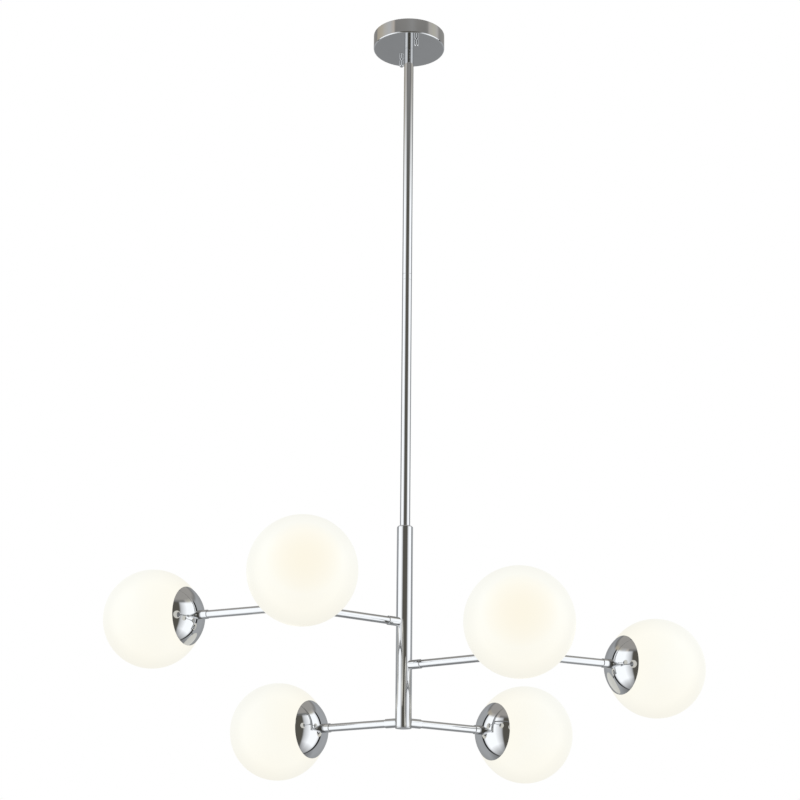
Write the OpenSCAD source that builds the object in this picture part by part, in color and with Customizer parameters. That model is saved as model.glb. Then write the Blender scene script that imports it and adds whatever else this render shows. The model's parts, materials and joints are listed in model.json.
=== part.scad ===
// Branch chandelier: a ceiling canopy and a long stem carry a hub tube with four arms.
// The two upper arms fork towards the front, so six opal globes sit in chrome cups.
// Origin: centre of the ceiling face. +Z is up, -Y is the front, and the lamp hangs below.

/* [Canopy] */
// Outer diameter of the ceiling canopy
canopy_d = 120; // [110:1:150]
// Height of the canopy wall
canopy_h = 26; // [24:1:40]
// Thickness of the canopy sheet
canopy_wall = 1; // [0.8:0.1:1.5]
// Rounding of the canopy's lower edge
canopy_edge_r = 2; // [1.6:0.2:4]
// Direction of the line through the two cap nuts, in degrees from +X
strap_azimuth = -72; // [-180:1:180]

/* [Ceiling strap] */
// Overall length of the steel strap
strap_len = 91; // [88:1:98]
// Width of the strap
strap_w = 18; // [16:1:24]
// Thickness of the strap
strap_t = 2; // [1.5:0.1:2.5]
// How far the strap's ends step down from the ceiling
strap_step_h = 5; // [4:0.5:6]
// Length of the slope down to each end of the strap
strap_slope_len = 2.5; // [2:0.5:3.5]
// Length of flat strap beyond each ceiling screw hole
strap_flat_end = 6; // [5:0.5:6.5]
// Distance between the two ceiling screw holes
ceiling_hole_spacing = 50; // [46:1:52]
// Diameter of the ceiling screw holes
ceiling_hole_d = 5.2; // [4.5:0.1:5.6]
// Diameter of the supply cable's hole in the middle
cable_hole_d = 12; // [8:1:12]

/* [Studs and cap nuts] */
// Distance between the two studs
stud_spacing = 75; // [74:1:78]
// Diameter of the studs
stud_d = 4; // [3:0.5:5]
// Diameter of a stud's head
stud_head_d = 7; // [6:0.5:8]
// Height of a stud's head
stud_head_h = 2.4; // [1.8:0.2:3]
// Length of stud below the canopy
stud_tail = 10; // [10:0.5:14]
// Diameter of the knurled cap nuts
cap_nut_d = 7.5; // [7:0.5:10]
// Length of the cap nuts
cap_nut_len = 13; // [12.5:0.5:17]
// Number of knurl teeth round a cap nut
cap_nut_teeth = 24; // [16:1:32]
// Depth of the knurl
knurl_depth = 0.35; // [0.2:0.05:0.5]
// Length of a cap nut's plain collar against the canopy
cap_nut_collar_h = 1.4; // [1:0.2:2.4]
// Height of a cap nut's bevelled tip
cap_nut_tip_h = 1.6; // [1:0.2:2]

/* [Stem] */
// Diameter of the two rods
rod_d = 16; // [14:0.5:20]
// Wall of the rods
rod_wall = 1.2; // [0.8:0.1:1.6]
// Visible length of the upper rod
upper_rod_len = 412; // [200:1:600]
// Visible length of the lower rod
lower_rod_len = 412; // [200:1:600]
// Height of the coupling ring between the rods
ring_h = 10; // [6:0.5:16]
// Length of the coupling's spigot in each rod
spigot_len = 12; // [8:1:20]
// Bore of the coupling
coupling_bore_d = 9; // [8:0.5:9.5]
// Small bevel at the ring's edges
ring_bevel = 0.4; // [0.2:0.1:0.8]
// Diameter of the threaded nipple that hangs the stem
stem_nipple_d = 10; // [9.5:0.5:11]
// Bore of the stem nipple
stem_nipple_bore_d = 8; // [7.5:0.1:8]
// Depth of the nipple in the upper rod
stem_nipple_seat = 14; // [10:1:25]
// Length of thread left above the stem's lock nut
stem_thread_end = 2; // [1:0.5:3]
// Thickness of the earth tag on the nipple
earth_tag_t = 0.8; // [0.6:0.1:1.2]
// Width of the earth tag's arm
earth_tag_w = 6; // [5:0.5:8]
// Width of the earth tag's ring beyond the lock nut's flats
earth_tag_rim = 2; // [1.5:0.5:3]
// Width across flats of the stem's lock nut
lock_nut_af = 14; // [13:0.5:16]
// Height of the stem's lock nut
lock_nut_h = 4; // [3:0.5:5]

/* [Hub] */
// Diameter of the hub tube
hub_d = 25; // [25:0.5:32]
// Wall of the hub tube
hub_wall = 1.2; // [1:0.1:1.6]
// Length of the hub from its shoulder to its foot
hub_len = 312; // [290:1:420]
// Height of the hub's top shoulder
hub_shoulder_h = 2.5; // [2:0.5:5]
// Bevel of the hub's top shoulder
hub_shoulder_bevel = 1.5; // [0.8:0.1:1.8]
// Depth of the top bush in the hub tube
hub_bush_len = 22; // [18:1:40]
// Depth of the lower rod in the hub's top bush
rod_seat = 15; // [10:1:17]
// Thickness of the foot below the hub tube
hub_foot_t = 2; // [1.5:0.5:4]
// Rounding of the foot's edge
hub_foot_r = 0.8; // [0.4:0.1:1.2]
// Height of the block in the hub's foot
hub_block_h = 20; // [18:1:30]
// Wall of the block in the hub's foot
hub_block_wall = 4; // [3:0.5:4.5]

/* [Arms] */
// Outer diameter of the arm tubes
arm_d = 12; // [10.5:0.5:12.5]
// Wall of the arm tubes
arm_wall = 1; // [0.8:0.1:1.2]
// Hub axis to fork axis
hub_to_fork_len = 196; // [150:1:300]
// Fork axis to the centre of a globe
fork_to_globe_len = 246; // [190:1:350]
// Hub axis to the centre of a low globe
hub_to_globe_len = 228; // [190:1:350]
// Angle of the two forked arms in front of the X axis
fork_arm_angle = 34; // [28:1:40]
// Angle of the two low arms behind the X axis
low_arm_angle = 32; // [25:1:42]
// Angle between a forked arm's line and each of its branches
fork_spread_angle = 60; // [55:1:65]
// Depth of the left forked arm below the hub's top
left_arm_depth = 151; // [120:1:170]
// Depth of the right forked arm below the hub's top
right_arm_depth = 217; // [200:1:230]
// Height of the low arms' ferrules above the end of the hub tube
low_arm_h = 0; // [0:0.5:6]
// Diameter of the fork drums
fork_d = 25; // [25:0.5:32]
// Height of the fork drums
fork_h = 22; // [18:1:30]
// Bevel of the fork drums' edges
fork_bevel = 1; // [0.5:0.1:2]
// Depth of an arm's nipple in a fork drum
fork_thread_len = 5.5; // [4:0.5:6]

/* [Ferrules] */
// Diameter of the ferrules at the arms' ends
ferrule_d = 14; // [13.5:0.5:16]
// Length of a ferrule on the hub or on a fork
saddle_ferrule_len = 18; // [16:0.5:26]
// Length of a ferrule on a cup
cup_ferrule_len = 14.5; // [12:0.5:22]
// Depth of the arm tube in a ferrule
arm_seat = 6; // [5:0.5:8]
// Bevel at a ferrule's open end
ferrule_bevel = 0.5; // [0.2:0.1:0.8]
// Diameter of the arms' threaded nipples
nipple_d = 8; // [7.8:0.1:9]
// Bore of the arms' threaded nipples
nipple_bore_d = 5.2; // [5:0.1:5.8]
// Width across flats of the arms' nuts
arm_nut_af = 11; // [10:0.5:12]
// Height of the arms' nuts
arm_nut_h = 3.5; // [2.5:0.5:4]

/* [Cups and globes] */
// Outer diameter of the glass globes
globe_d = 150; // [146:1:160]
// Wall of the glass
glass_wall = 2.5; // [2:0.1:3]
// Diameter of the screw neck on each globe
neck_d = 46; // [44:1:48]
// Wall of the screw neck
neck_wall = 3.5; // [3:0.1:4]
// Height of the neck above the round of the globe
neck_h = 3.6; // [3:0.1:3.8]
// Diameter of a cup's rim
cup_rim_d = 89; // [86:1:90]
// Depth of a cup from its rim to its flat top
cup_depth = 21; // [20.6:0.1:21.8]
// Gap between a cup's rim and the glass
cup_rim_gap = 0.3; // [0.3:0.1:1]
// Sheet thickness of a cup
cup_wall = 1; // [0.8:0.1:1.2]
// Thickness of a cup's flat top
cup_top_wall = 1.6; // [1.4:0.1:1.8]
// Radius of the rubber ring between cup and globe
gasket_r = 34; // [31:0.5:36]
// Gap on each side of the rubber ring
gasket_gap = 0.2; // [0.2:0.05:0.4]

/* [Screw seats] */
// Height of the seat's ring round the neck
seat_ring_h = 3.6; // [3:0.1:3.8]
// Wall of the seat's ring
seat_wall = 2.2; // [1.5:0.1:2.4]
// Thickness of the seat's web
seat_web = 1.8; // [1.4:0.1:2]
// Height of the seat's boss between web and cup
seat_boss_h = 2.3; // [2.2:0.1:2.8]
// Diameter of the seat's boss against the cup
seat_boss_d = 18; // [16:1:18]
// Diameter of the seat's flat middle
seat_flat_d = 34; // [26:1:36]

/* [Lampholders and bulbs] */
// Diameter of a lampholder's body
holder_d = 26; // [24:1:32]
// Length of a lampholder's body
holder_len = 18; // [16:1:22]
// Diameter of a lampholder's neck
holder_neck_d = 14; // [13:0.5:18]
// Length of a lampholder's neck
holder_neck_len = 5.4; // [4:0.2:8]
// Depth of the nipple in the lampholder
holder_thread_len = 9; // [8:0.5:10]
// Distance between a bulb's two pins
pin_spacing = 9; // [8.5:0.5:10]
// Width of a bulb's looped pin
pin_w = 2.4; // [2:0.1:3]
// Wire diameter of a bulb's pin
pin_wire_d = 0.8; // [0.7:0.1:1]
// Length of a bulb's pin
pin_len = 8; // [7:0.5:8.5]
// Length of a pin that is held in the bulb's base
pin_root = 1; // [0.5:0.5:2]
// Gap round a pin in its slot
pin_clear = 0.5; // [0.3:0.1:0.6]
// Diameter of a bulb's capsule
bulb_d = 16; // [14:0.5:20]
// Length of a bulb from the lampholder to its tip
bulb_len = 52; // [40:1:62]
// Size across a bulb's base
bulb_base_w = 14; // [13:0.5:16]
// Depth of a bulb's base block from side to side
bulb_base_d = 10; // [8:0.5:12]
// Height of a bulb's base block
bulb_base_h = 8; // [6:0.5:12]

/* [Wiring] */
// Diameter of the lead in the stem
stem_lead_d = 6.4; // [6:0.1:6.8]
// Diameter of the leads in the arms
arm_lead_d = 2.4; // [2:0.1:2.4]
// Bend radius of the arms' leads in the hub
arm_lead_bend_r = 2.9; // [2.6:0.1:3]
// Bend radius of the stem's lead in the canopy
stem_lead_bend_r = 6; // [5:0.5:7]
// Length of the terminal block along the strap
block_len = 12; // [11:0.5:13]
// Width of the terminal block
block_w = 15; // [12:1:18]
// Height of the terminal block
block_h = 12; // [11:0.5:13]
// Distance of the terminal block's near face from the axis
block_offset = 8; // [7:0.5:8]
// Depth of the block's wire ways below its middle
way_drop_h = 1; // [0.5:0.5:1.5]
// Diameter of the block's wire ways
way_d = 2.8; // [2:0.2:3.4]
// Depth of the block's wire ways
way_depth = 5; // [4:0.5:5]
// Diameter of the block's clamp screws
clamp_screw_d = 3; // [2.4:0.2:3.2]
// Length of the block's clamp screws
clamp_screw_len = 2.4; // [2:0.2:2.8]
// Depth of a clamp screw's top below the block's face
clamp_screw_sink = 0.6; // [0.4:0.1:1]
// Width of a clamp screw's slot
clamp_slot_w = 0.4; // [0.3:0.1:0.6]
// Depth of a clamp screw's slot
clamp_slot_depth = 0.6; // [0.4:0.1:0.8]
// Diameter of the earth lead
earth_lead_d = 2.6; // [2:0.1:3]
// Distance of the earth screw from the axis
earth_offset = 14; // [13:0.5:16]
// Diameter of the earth screw
earth_screw_d = 3; // [2.5:0.5:3.5]
// Diameter of the earth screw's head
earth_head_d = 6; // [5:0.5:7]
// Height of the earth screw's head
earth_head_h = 2; // [1.5:0.5:3]

/* [Hidden] */
$fn = 96;
// Clearances: running fits that turn, and plain gaps between loose pieces
run_gap = 0.05;
loose_gap = 0.3;
hole_gap = 0.15;
// How far a cutting shape runs past the face that it opens
cut = 1;
// Step from the knurl's root down to a cap nut's plain ends
collar_step = 0.1;
// Nipple beyond its nut, and space for the leads below the hub's bush
thread_end = 0.5;
lead_clear = 4;
// Middle of a fork that is left free for the leads' splice
splice_r = 3;
// Width and depth of a stud's screwdriver slot
stud_slot = 1;
// Places of the clamp screws along the terminal block
CLAMPS = [0.28, 0.72];

// Levels down the stem
canopy_floor_z = -canopy_h;
ring_top_z = canopy_floor_z - upper_rod_len;
ring_low_z = ring_top_z - ring_h;
hub_top_z = ring_low_z - lower_rod_len;
hub_foot_z = hub_top_z - hub_len;
tube_top_z = hub_top_z - hub_shoulder_h;
tube_low_z = hub_foot_z + hub_foot_t;
left_arm_z = hub_top_z - left_arm_depth;
right_arm_z = hub_top_z - right_arm_depth;
low_arm_z = tube_low_z + ferrule_d / 2 + low_arm_h;
strap_end_top_z = -strap_step_h;
strap_end_low_z = strap_end_top_z - strap_t;
tag_top_z = canopy_floor_z + canopy_wall + earth_tag_t;
lock_nut_top_z = tag_top_z + lock_nut_h;
stem_nipple_top_z = lock_nut_top_z + stem_thread_end;
rod_thread_low_z = canopy_floor_z - stem_nipple_seat - 2 * thread_end;
stud_tip_z = canopy_floor_z - stud_tail;
hub_bore_r = hub_d / 2 - hub_wall;
rod_bore_r = rod_d / 2 - rod_wall;
block_low_z = -strap_t - block_h;
lead_bend_z = -strap_t - block_h / 2 - way_drop_h;

// Spheres that shape the globe and the cup. A level t is measured from the globe's centre
// along the line to its arm, and the cup's dome passes through its rim and its flat's edge.
function on_sphere(sphere_r, r) = sqrt(pow(sphere_r, 2) - pow(r, 2));
globe_r = globe_d / 2;
cup_rim_r = cup_rim_d / 2;
cup_flat_r = ferrule_d / 2 + loose_gap;
dome_below_rim = (pow(cup_rim_r, 2) - pow(cup_flat_r, 2) - pow(cup_depth, 2)) / (2 * cup_depth);
dome_r = norm([cup_rim_r, dome_below_rim]);
cup_rim_t = on_sphere(globe_r + cup_rim_gap, on_sphere(dome_r - cup_wall, dome_below_rim));
dome_centre_t = cup_rim_t - dome_below_rim;
cup_top_t = cup_rim_t + cup_depth;
cup_seat_t = cup_top_t - cup_top_wall;

// What is stacked in a cup, from its seat to the bulb
neck_end_t = on_sphere(globe_r, neck_d / 2) + neck_h;
seat_face_t = cup_seat_t - seat_boss_h - seat_web;
holder_back_t = seat_face_t - arm_nut_h;
holder_face_t = holder_back_t - holder_neck_len - holder_len;
nipple_in_t = holder_back_t - holder_thread_len;

// Where the arm tubes begin and end, from the axis of what carries them
saddle_ferrule_end = hub_d / 2 + saddle_ferrule_len;
fork_ferrule_end = fork_d / 2 + saddle_ferrule_len;
cup_ferrule_end_t = cup_top_t + cup_ferrule_len;
arm_end_t = cup_ferrule_end_t - arm_seat;
nipple_out_t = arm_end_t - loose_gap;
nipple_seat_len = saddle_ferrule_len - arm_seat - loose_gap;
arm_nut_x = on_sphere(hub_bore_r, arm_nut_af / sqrt(3)) - run_gap - arm_nut_h;
lead_low_z = tube_top_z - hub_bush_len - lead_clear;

// The six lamps: where each branch starts, its direction, reach and level
LAMPS = ["outer_left", "front_left", "front_right", "outer_right", "low_left", "low_right"];
left_fork_az = 180 + fork_arm_angle;
right_fork_az = -fork_arm_angle;
function polar(r, az, z) = [r * cos(az), r * sin(az), z];
left_fork = polar(hub_to_fork_len, left_fork_az, left_arm_z);
right_fork = polar(hub_to_fork_len, right_fork_az, right_arm_z);
ROOTS = [left_fork, left_fork, right_fork, right_fork, [0, 0, low_arm_z], [0, 0, low_arm_z]];
AZIMUTHS = [
    left_fork_az - fork_spread_angle,
    left_fork_az + fork_spread_angle,
    right_fork_az - fork_spread_angle,
    right_fork_az + fork_spread_angle,
    180 - low_arm_angle,
    low_arm_angle
];
REACHES = [for (i = [0 : 5]) i < 4 ? fork_to_globe_len : hub_to_globe_len];
HUB_ARMS = [
    [left_fork_az, left_arm_z],
    [right_fork_az, right_arm_z],
    [180 - low_arm_angle, low_arm_z],
    [low_arm_angle, low_arm_z]
];
FORKS = [[left_fork, left_fork_az], [right_fork, right_fork_az]];

FIXED = [
    "ceiling_strap", "canopy_studs", "canopy", "terminal_block", "terminal_screws", "earth_lead",
    "stem_nipple", "earth_tag", "stem_lock_nut", "upper_rod", "rod_coupling", "lower_rod",
    "hub_bush", "hub_tube", "hub_foot", "saddle_ferrules", "cup_ferrules", "arm_nipples",
    "cup_nipples", "arm_nuts", "left_fork_arm", "right_fork_arm", "left_fork_drum",
    "right_fork_drum", "screw_seats", "lampholders", "wiring"
];
NUTS = ["cap_nut_front", "cap_nut_back"];

CHROME = [0.78, 0.79, 0.81];
STEEL = [0.62, 0.63, 0.65];
BRASS = [0.80, 0.66, 0.36];
OPAL = [1.0, 0.99, 0.94];
NYLON = [0.92, 0.91, 0.88];
CERAMIC = [0.95, 0.94, 0.90];
LEAD = [0.86, 0.87, 0.88];
EARTH = [0.55, 0.72, 0.20];

// A straight round bar along +X from x0 to x1
module bar_x(r, x0, x1) {
    translate([x0, 0, 0]) rotate([0, 90, 0]) cylinder(r = r, h = x1 - x0);
}

// A ring along Z between two levels
module tube_z(r_out, r_in, z_low, z_high) {
    translate([0, 0, z_low]) difference() {
        cylinder(r = r_out, h = z_high - z_low);
        translate([0, 0, -cut]) cylinder(r = r_in, h = z_high - z_low + 2 * cut);
    }
}

// A hexagon nut along Z with its bore
module hex_nut(af, h, bore_r) {
    difference() {
        cylinder(r = af / sqrt(3), h = h, $fn = 6);
        translate([0, 0, -cut]) cylinder(r = bore_r, h = h + 2 * cut);
    }
}

// Turns a child to the strap's direction
module on_strap() {
    rotate([0, 0, strap_azimuth]) children();
}

// Puts a child at both studs: one in front of the stem and one behind it
module at_studs() {
    for (side = [-1, 1]) on_strap() translate([side * stud_spacing / 2, 0, 0]) children();
}

// A child's +X runs out along a hub arm
module along_hub_arm(arm) {
    translate([0, 0, arm[1]]) rotate([0, 0, arm[0]]) children();
}

// A child's +X runs from the fork or hub towards globe i
module along_branch(i) {
    translate(ROOTS[i]) rotate([0, 0, AZIMUTHS[i]]) children();
}

// A child's +Z runs from the centre of globe i back towards its arm
module on_globe(i) {
    along_branch(i) translate([REACHES[i], 0, 0]) rotate([0, -90, 0]) children();
}

// Ceiling end -------------------------------------------------------------

module ceiling_strap() {
    flat_x = ceiling_hole_spacing / 2 + strap_flat_end;
    end_x = flat_x + strap_slope_len;
    // The slope's lower bends are set in, so that the slope is as thick as the rest
    set_in = strap_t * tan(atan2(strap_step_h, strap_slope_len) / 2);
    half = [
        [flat_x, 0], [end_x, strap_end_top_z], [strap_len / 2, strap_end_top_z],
        [strap_len / 2, strap_end_low_z], [end_x - set_in, strap_end_low_z], [flat_x - set_in, -strap_t]
    ];
    color(STEEL) on_strap() difference() {
        rotate([90, 0, 0]) translate([0, 0, -strap_w / 2]) linear_extrude(strap_w) {
            polygon(concat(half, [for (i = [5 : -1 : 0]) [-half[i][0], half[i][1]]]));
        }
        translate([0, 0, -strap_t - cut]) cylinder(d = cable_hole_d, h = strap_t + 2 * cut);
        translate([earth_offset, 0, -strap_t - cut]) cylinder(d = earth_screw_d, h = strap_t + 2 * cut);
        for (side = [-1, 1]) {
            translate([side * ceiling_hole_spacing / 2, 0, -strap_t - cut])
                cylinder(d = ceiling_hole_d, h = strap_t + 2 * cut);
            translate([side * stud_spacing / 2, 0, strap_end_low_z - cut])
                cylinder(d = stud_d, h = strap_t + 2 * cut);
        }
    }
}

module canopy_studs() {
    color(STEEL) at_studs() difference() {
        union() {
            translate([0, 0, strap_end_top_z]) cylinder(d = stud_head_d, h = stud_head_h);
            translate([0, 0, stud_tip_z]) cylinder(d = stud_d, h = strap_end_top_z - stud_tip_z);
        }
        translate([0, 0, strap_end_top_z + stud_head_h])
            cube([stud_head_d + cut, stud_slot, 2 * stud_slot], center = true);
    }
}

module canopy() {
    r = canopy_d / 2;
    color(CHROME) difference() {
        rotate_extrude() {
            translate([r - canopy_wall, canopy_floor_z + canopy_edge_r])
                square([canopy_wall, canopy_h - canopy_edge_r]);
            translate([0, canopy_floor_z]) square([r - canopy_edge_r, canopy_wall]);
            translate([r - canopy_edge_r, canopy_floor_z + canopy_edge_r]) intersection() {
                difference() {
                    circle(r = canopy_edge_r);
                    circle(r = canopy_edge_r - canopy_wall);
                }
                translate([0, -canopy_edge_r]) square(canopy_edge_r);
            }
        }
        translate([0, 0, canopy_floor_z - cut])
            cylinder(d = stem_nipple_d + 2 * hole_gap, h = canopy_wall + 2 * cut);
        at_studs() translate([0, 0, canopy_floor_z - cut])
            cylinder(d = stud_d + 2 * loose_gap, h = canopy_wall + 2 * cut);
    }
}

module cap_nut_at(side) {
    r = cap_nut_d / 2;
    root_r = r - knurl_depth;
    plain_r = root_r - collar_step;
    knurl_low_z = canopy_floor_z - cap_nut_len + cap_nut_tip_h;
    tooth = 180 / cap_nut_teeth;
    teeth = [
        for (i = [0 : 2 * cap_nut_teeth - 1])
            (i % 2 == 0 ? r : root_r) * [cos(i * tooth), sin(i * tooth)]
    ];
    color(CHROME) on_strap() translate([side * stud_spacing / 2, 0, 0]) difference() {
        union() {
            translate([0, 0, knurl_low_z])
                linear_extrude(cap_nut_len - cap_nut_tip_h - cap_nut_collar_h) polygon(teeth);
            translate([0, 0, canopy_floor_z - cap_nut_collar_h])
                cylinder(r = plain_r, h = cap_nut_collar_h);
            translate([0, 0, knurl_low_z - cap_nut_tip_h])
                cylinder(r1 = plain_r - cap_nut_tip_h / 2, r2 = plain_r, h = cap_nut_tip_h);
        }
        translate([0, 0, stud_tip_z - loose_gap])
            cylinder(r = stud_d / 2 + run_gap, h = stud_tail + loose_gap + cut);
    }
}

// A child at each clamp screw, on the lower face of the terminal block
module at_clamps() {
    for (way = [-1 : 1], place = CLAMPS)
        translate([-block_offset - place * block_len, way * block_w / 3, block_low_z]) children();
}

module terminal_block() {
    color(NYLON) on_strap() difference() {
        translate([-block_offset - block_len, -block_w / 2, block_low_z])
            cube([block_len, block_w, block_h]);
        for (way = [-1 : 1]) translate([-block_offset - block_len, way * block_w / 3, lead_bend_z])
            bar_x(way_d / 2, -cut, way_depth);
        at_clamps() translate([0, 0, -cut])
            cylinder(d = clamp_screw_d, h = clamp_screw_sink + clamp_screw_len + cut);
    }
}

module terminal_screws() {
    color(BRASS) on_strap() {
        at_clamps() translate([0, 0, clamp_screw_sink]) difference() {
            cylinder(d = clamp_screw_d, h = clamp_screw_len);
            cube([clamp_screw_d + cut, clamp_slot_w, 2 * clamp_slot_depth], center = true);
        }
        translate([earth_offset, 0, -strap_t]) cylinder(d = earth_screw_d, h = strap_t);
        translate([earth_offset, 0, -strap_t - earth_head_h]) cylinder(d = earth_head_d, h = earth_head_h);
    }
}

module earth_lead() {
    color(EARTH) on_strap() translate([earth_offset, 0, tag_top_z])
        cylinder(d = earth_lead_d, h = -strap_t - earth_head_h - tag_top_z);
}

module earth_tag() {
    color(BRASS) on_strap() translate([0, 0, tag_top_z - earth_tag_t]) difference() {
        union() {
            cylinder(d = lock_nut_af + 2 * earth_tag_rim, h = earth_tag_t);
            translate([0, -earth_tag_w / 2, 0]) cube([earth_offset, earth_tag_w, earth_tag_t]);
            translate([earth_offset, 0, 0]) cylinder(d = earth_tag_w, h = earth_tag_t);
        }
        translate([0, 0, -cut]) cylinder(d = stem_nipple_d + 2 * hole_gap, h = earth_tag_t + 2 * cut);
    }
}

module stem_lock_nut() {
    color(STEEL) translate([0, 0, tag_top_z])
        hex_nut(lock_nut_af, lock_nut_h, stem_nipple_d / 2);
}

module stem_nipple() {
    color(BRASS) tube_z(stem_nipple_d / 2, stem_nipple_bore_d / 2,
                        canopy_floor_z - stem_nipple_seat, stem_nipple_top_z);
}

// Stem --------------------------------------------------------------------

module upper_rod() {
    color(CHROME) difference() {
        translate([0, 0, ring_top_z]) cylinder(d = rod_d, h = upper_rod_len);
        translate([0, 0, ring_top_z - cut])
            cylinder(r = rod_bore_r, h = rod_thread_low_z - ring_top_z + cut);
        translate([0, 0, rod_thread_low_z - cut])
            cylinder(d = stem_nipple_d, h = canopy_floor_z - rod_thread_low_z + 2 * cut);
    }
}

module rod_coupling() {
    color(CHROME) difference() {
        union() {
            translate([0, 0, ring_low_z + ring_bevel]) cylinder(d = rod_d, h = ring_h - 2 * ring_bevel);
            for (end = [0, 1])
                translate([0, 0, end * (ring_h - ring_bevel) + ring_low_z])
                    cylinder(r1 = rod_d / 2 - (1 - end) * ring_bevel,
                             r2 = rod_d / 2 - end * ring_bevel, h = ring_bevel);
            translate([0, 0, ring_low_z - spigot_len])
                cylinder(r = rod_bore_r, h = ring_h + 2 * spigot_len);
        }
        translate([0, 0, ring_low_z - spigot_len - cut])
            cylinder(d = coupling_bore_d, h = ring_h + 2 * spigot_len + 2 * cut);
    }
}

module lower_rod() {
    color(CHROME) tube_z(rod_d / 2, rod_bore_r, hub_top_z - rod_seat, ring_low_z);
}

// Hub ---------------------------------------------------------------------

module hub_bush() {
    color(CHROME) difference() {
        union() {
            translate([0, 0, hub_top_z - hub_shoulder_bevel])
                cylinder(r1 = hub_d / 2, r2 = hub_d / 2 - hub_shoulder_bevel, h = hub_shoulder_bevel);
            translate([0, 0, tube_top_z])
                cylinder(d = hub_d, h = hub_shoulder_h - hub_shoulder_bevel);
            translate([0, 0, tube_top_z - hub_bush_len]) cylinder(r = hub_bore_r, h = hub_bush_len);
        }
        translate([0, 0, hub_top_z - rod_seat]) cylinder(d = rod_d, h = rod_seat + cut);
        translate([0, 0, tube_top_z - hub_bush_len - cut])
            cylinder(r = rod_bore_r, h = hub_bush_len + hub_shoulder_h);
    }
}

module hub_tube() {
    color(CHROME) difference() {
        tube_z(hub_d / 2, hub_bore_r, tube_low_z, tube_top_z);
        for (arm = HUB_ARMS) along_hub_arm(arm) bar_x(nipple_d / 2, 0, hub_d);
    }
}

module hub_foot() {
    color(CHROME) difference() {
        union() {
            rotate_extrude() {
                translate([0, hub_foot_z]) square([hub_d / 2 - hub_foot_r, hub_foot_t]);
                translate([0, hub_foot_z + hub_foot_r])
                    square([hub_d / 2, hub_foot_t - hub_foot_r]);
                translate([hub_d / 2 - hub_foot_r, hub_foot_z + hub_foot_r]) circle(r = hub_foot_r);
            }
            translate([0, 0, tube_low_z]) cylinder(r = hub_bore_r, h = hub_block_h);
        }
        translate([0, 0, tube_low_z]) cylinder(r = hub_bore_r - hub_block_wall, h = hub_block_h + cut);
        for (i = [2, 3]) along_hub_arm(HUB_ARMS[i]) bar_x(nipple_d / 2, 0, hub_d);
    }
}

// Arms --------------------------------------------------------------------

// A ferrule whose inner end is cut to the round of the hub or fork behind it
module saddle_ferrule(boss_r) {
    end_x = boss_r + saddle_ferrule_len;
    difference() {
        union() {
            bar_x(ferrule_d / 2, 0, end_x - ferrule_bevel);
            translate([end_x - ferrule_bevel, 0, 0]) rotate([0, 90, 0])
                cylinder(r1 = ferrule_d / 2, r2 = ferrule_d / 2 - ferrule_bevel, h = ferrule_bevel);
        }
        cylinder(r = boss_r, h = 4 * ferrule_d, center = true);
        bar_x(nipple_d / 2, 0, end_x);
        bar_x(arm_d / 2, end_x - arm_seat, end_x + cut);
    }
}

module saddle_ferrules() {
    color(CHROME) {
        for (arm = HUB_ARMS) along_hub_arm(arm) saddle_ferrule(hub_d / 2);
        for (fork = FORKS) translate(fork[0]) for (turn = [180, -fork_spread_angle, fork_spread_angle])
            rotate([0, 0, fork[1] + turn]) saddle_ferrule(fork_d / 2);
    }
}

module cup_ferrules() {
    color(CHROME) for (i = [0 : 5]) on_globe(i) difference() {
        union() {
            translate([0, 0, cup_top_t]) cylinder(d = ferrule_d, h = cup_ferrule_len - ferrule_bevel);
            translate([0, 0, cup_ferrule_end_t - ferrule_bevel])
                cylinder(r1 = ferrule_d / 2, r2 = ferrule_d / 2 - ferrule_bevel, h = ferrule_bevel);
        }
        translate([0, 0, cup_top_t - cut]) cylinder(d = nipple_d, h = cup_ferrule_len);
        translate([0, 0, arm_end_t]) cylinder(d = arm_d, h = arm_seat + cut);
    }
}

// A hollow threaded nipple along +X
module nipple_x(x0, x1) {
    difference() {
        bar_x(nipple_d / 2, x0, x1);
        bar_x(nipple_bore_d / 2, x0 - cut, x1 + cut);
    }
}

module arm_nipples() {
    color(BRASS) {
        for (i = [0, 1]) along_hub_arm(HUB_ARMS[i])
            nipple_x(arm_nut_x - thread_end, hub_d / 2 + nipple_seat_len);
        for (i = [2, 3]) along_hub_arm(HUB_ARMS[i])
            nipple_x(hub_bore_r - hub_block_wall + thread_end, hub_d / 2 + nipple_seat_len);
        for (fork = FORKS) translate(fork[0]) for (turn = [180, -fork_spread_angle, fork_spread_angle])
            rotate([0, 0, fork[1] + turn])
                nipple_x(fork_d / 2 - fork_thread_len, fork_d / 2 + nipple_seat_len);
    }
}

module cup_nipples() {
    color(BRASS) for (i = [0 : 5]) on_globe(i)
        tube_z(nipple_d / 2, nipple_bore_d / 2, nipple_in_t, nipple_out_t);
}

// Nuts that pull the two upper arms against the hub, and the cups against their seats
module arm_nuts() {
    color(STEEL) {
        for (i = [0, 1]) along_hub_arm(HUB_ARMS[i])
            translate([arm_nut_x, 0, 0]) rotate([0, 90, 0])
                hex_nut(arm_nut_af, arm_nut_h, nipple_d / 2);
        for (i = [0 : 5]) on_globe(i) translate([0, 0, holder_back_t])
            hex_nut(arm_nut_af, arm_nut_h, nipple_d / 2);
    }
}

// An arm tube along +X
module arm_tube(start, stop) {
    difference() {
        bar_x(arm_d / 2, start, stop);
        bar_x(arm_d / 2 - arm_wall, start - cut, stop + cut);
    }
}

module fork_arm(i) {
    color(CHROME) along_hub_arm(HUB_ARMS[i])
        arm_tube(saddle_ferrule_end - arm_seat, hub_to_fork_len - fork_ferrule_end + arm_seat);
}

module branch_arm(i) {
    start = (i < 4 ? fork_ferrule_end : saddle_ferrule_end) - arm_seat;
    color(CHROME) along_branch(i) arm_tube(start, REACHES[i] - arm_end_t);
}

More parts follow.
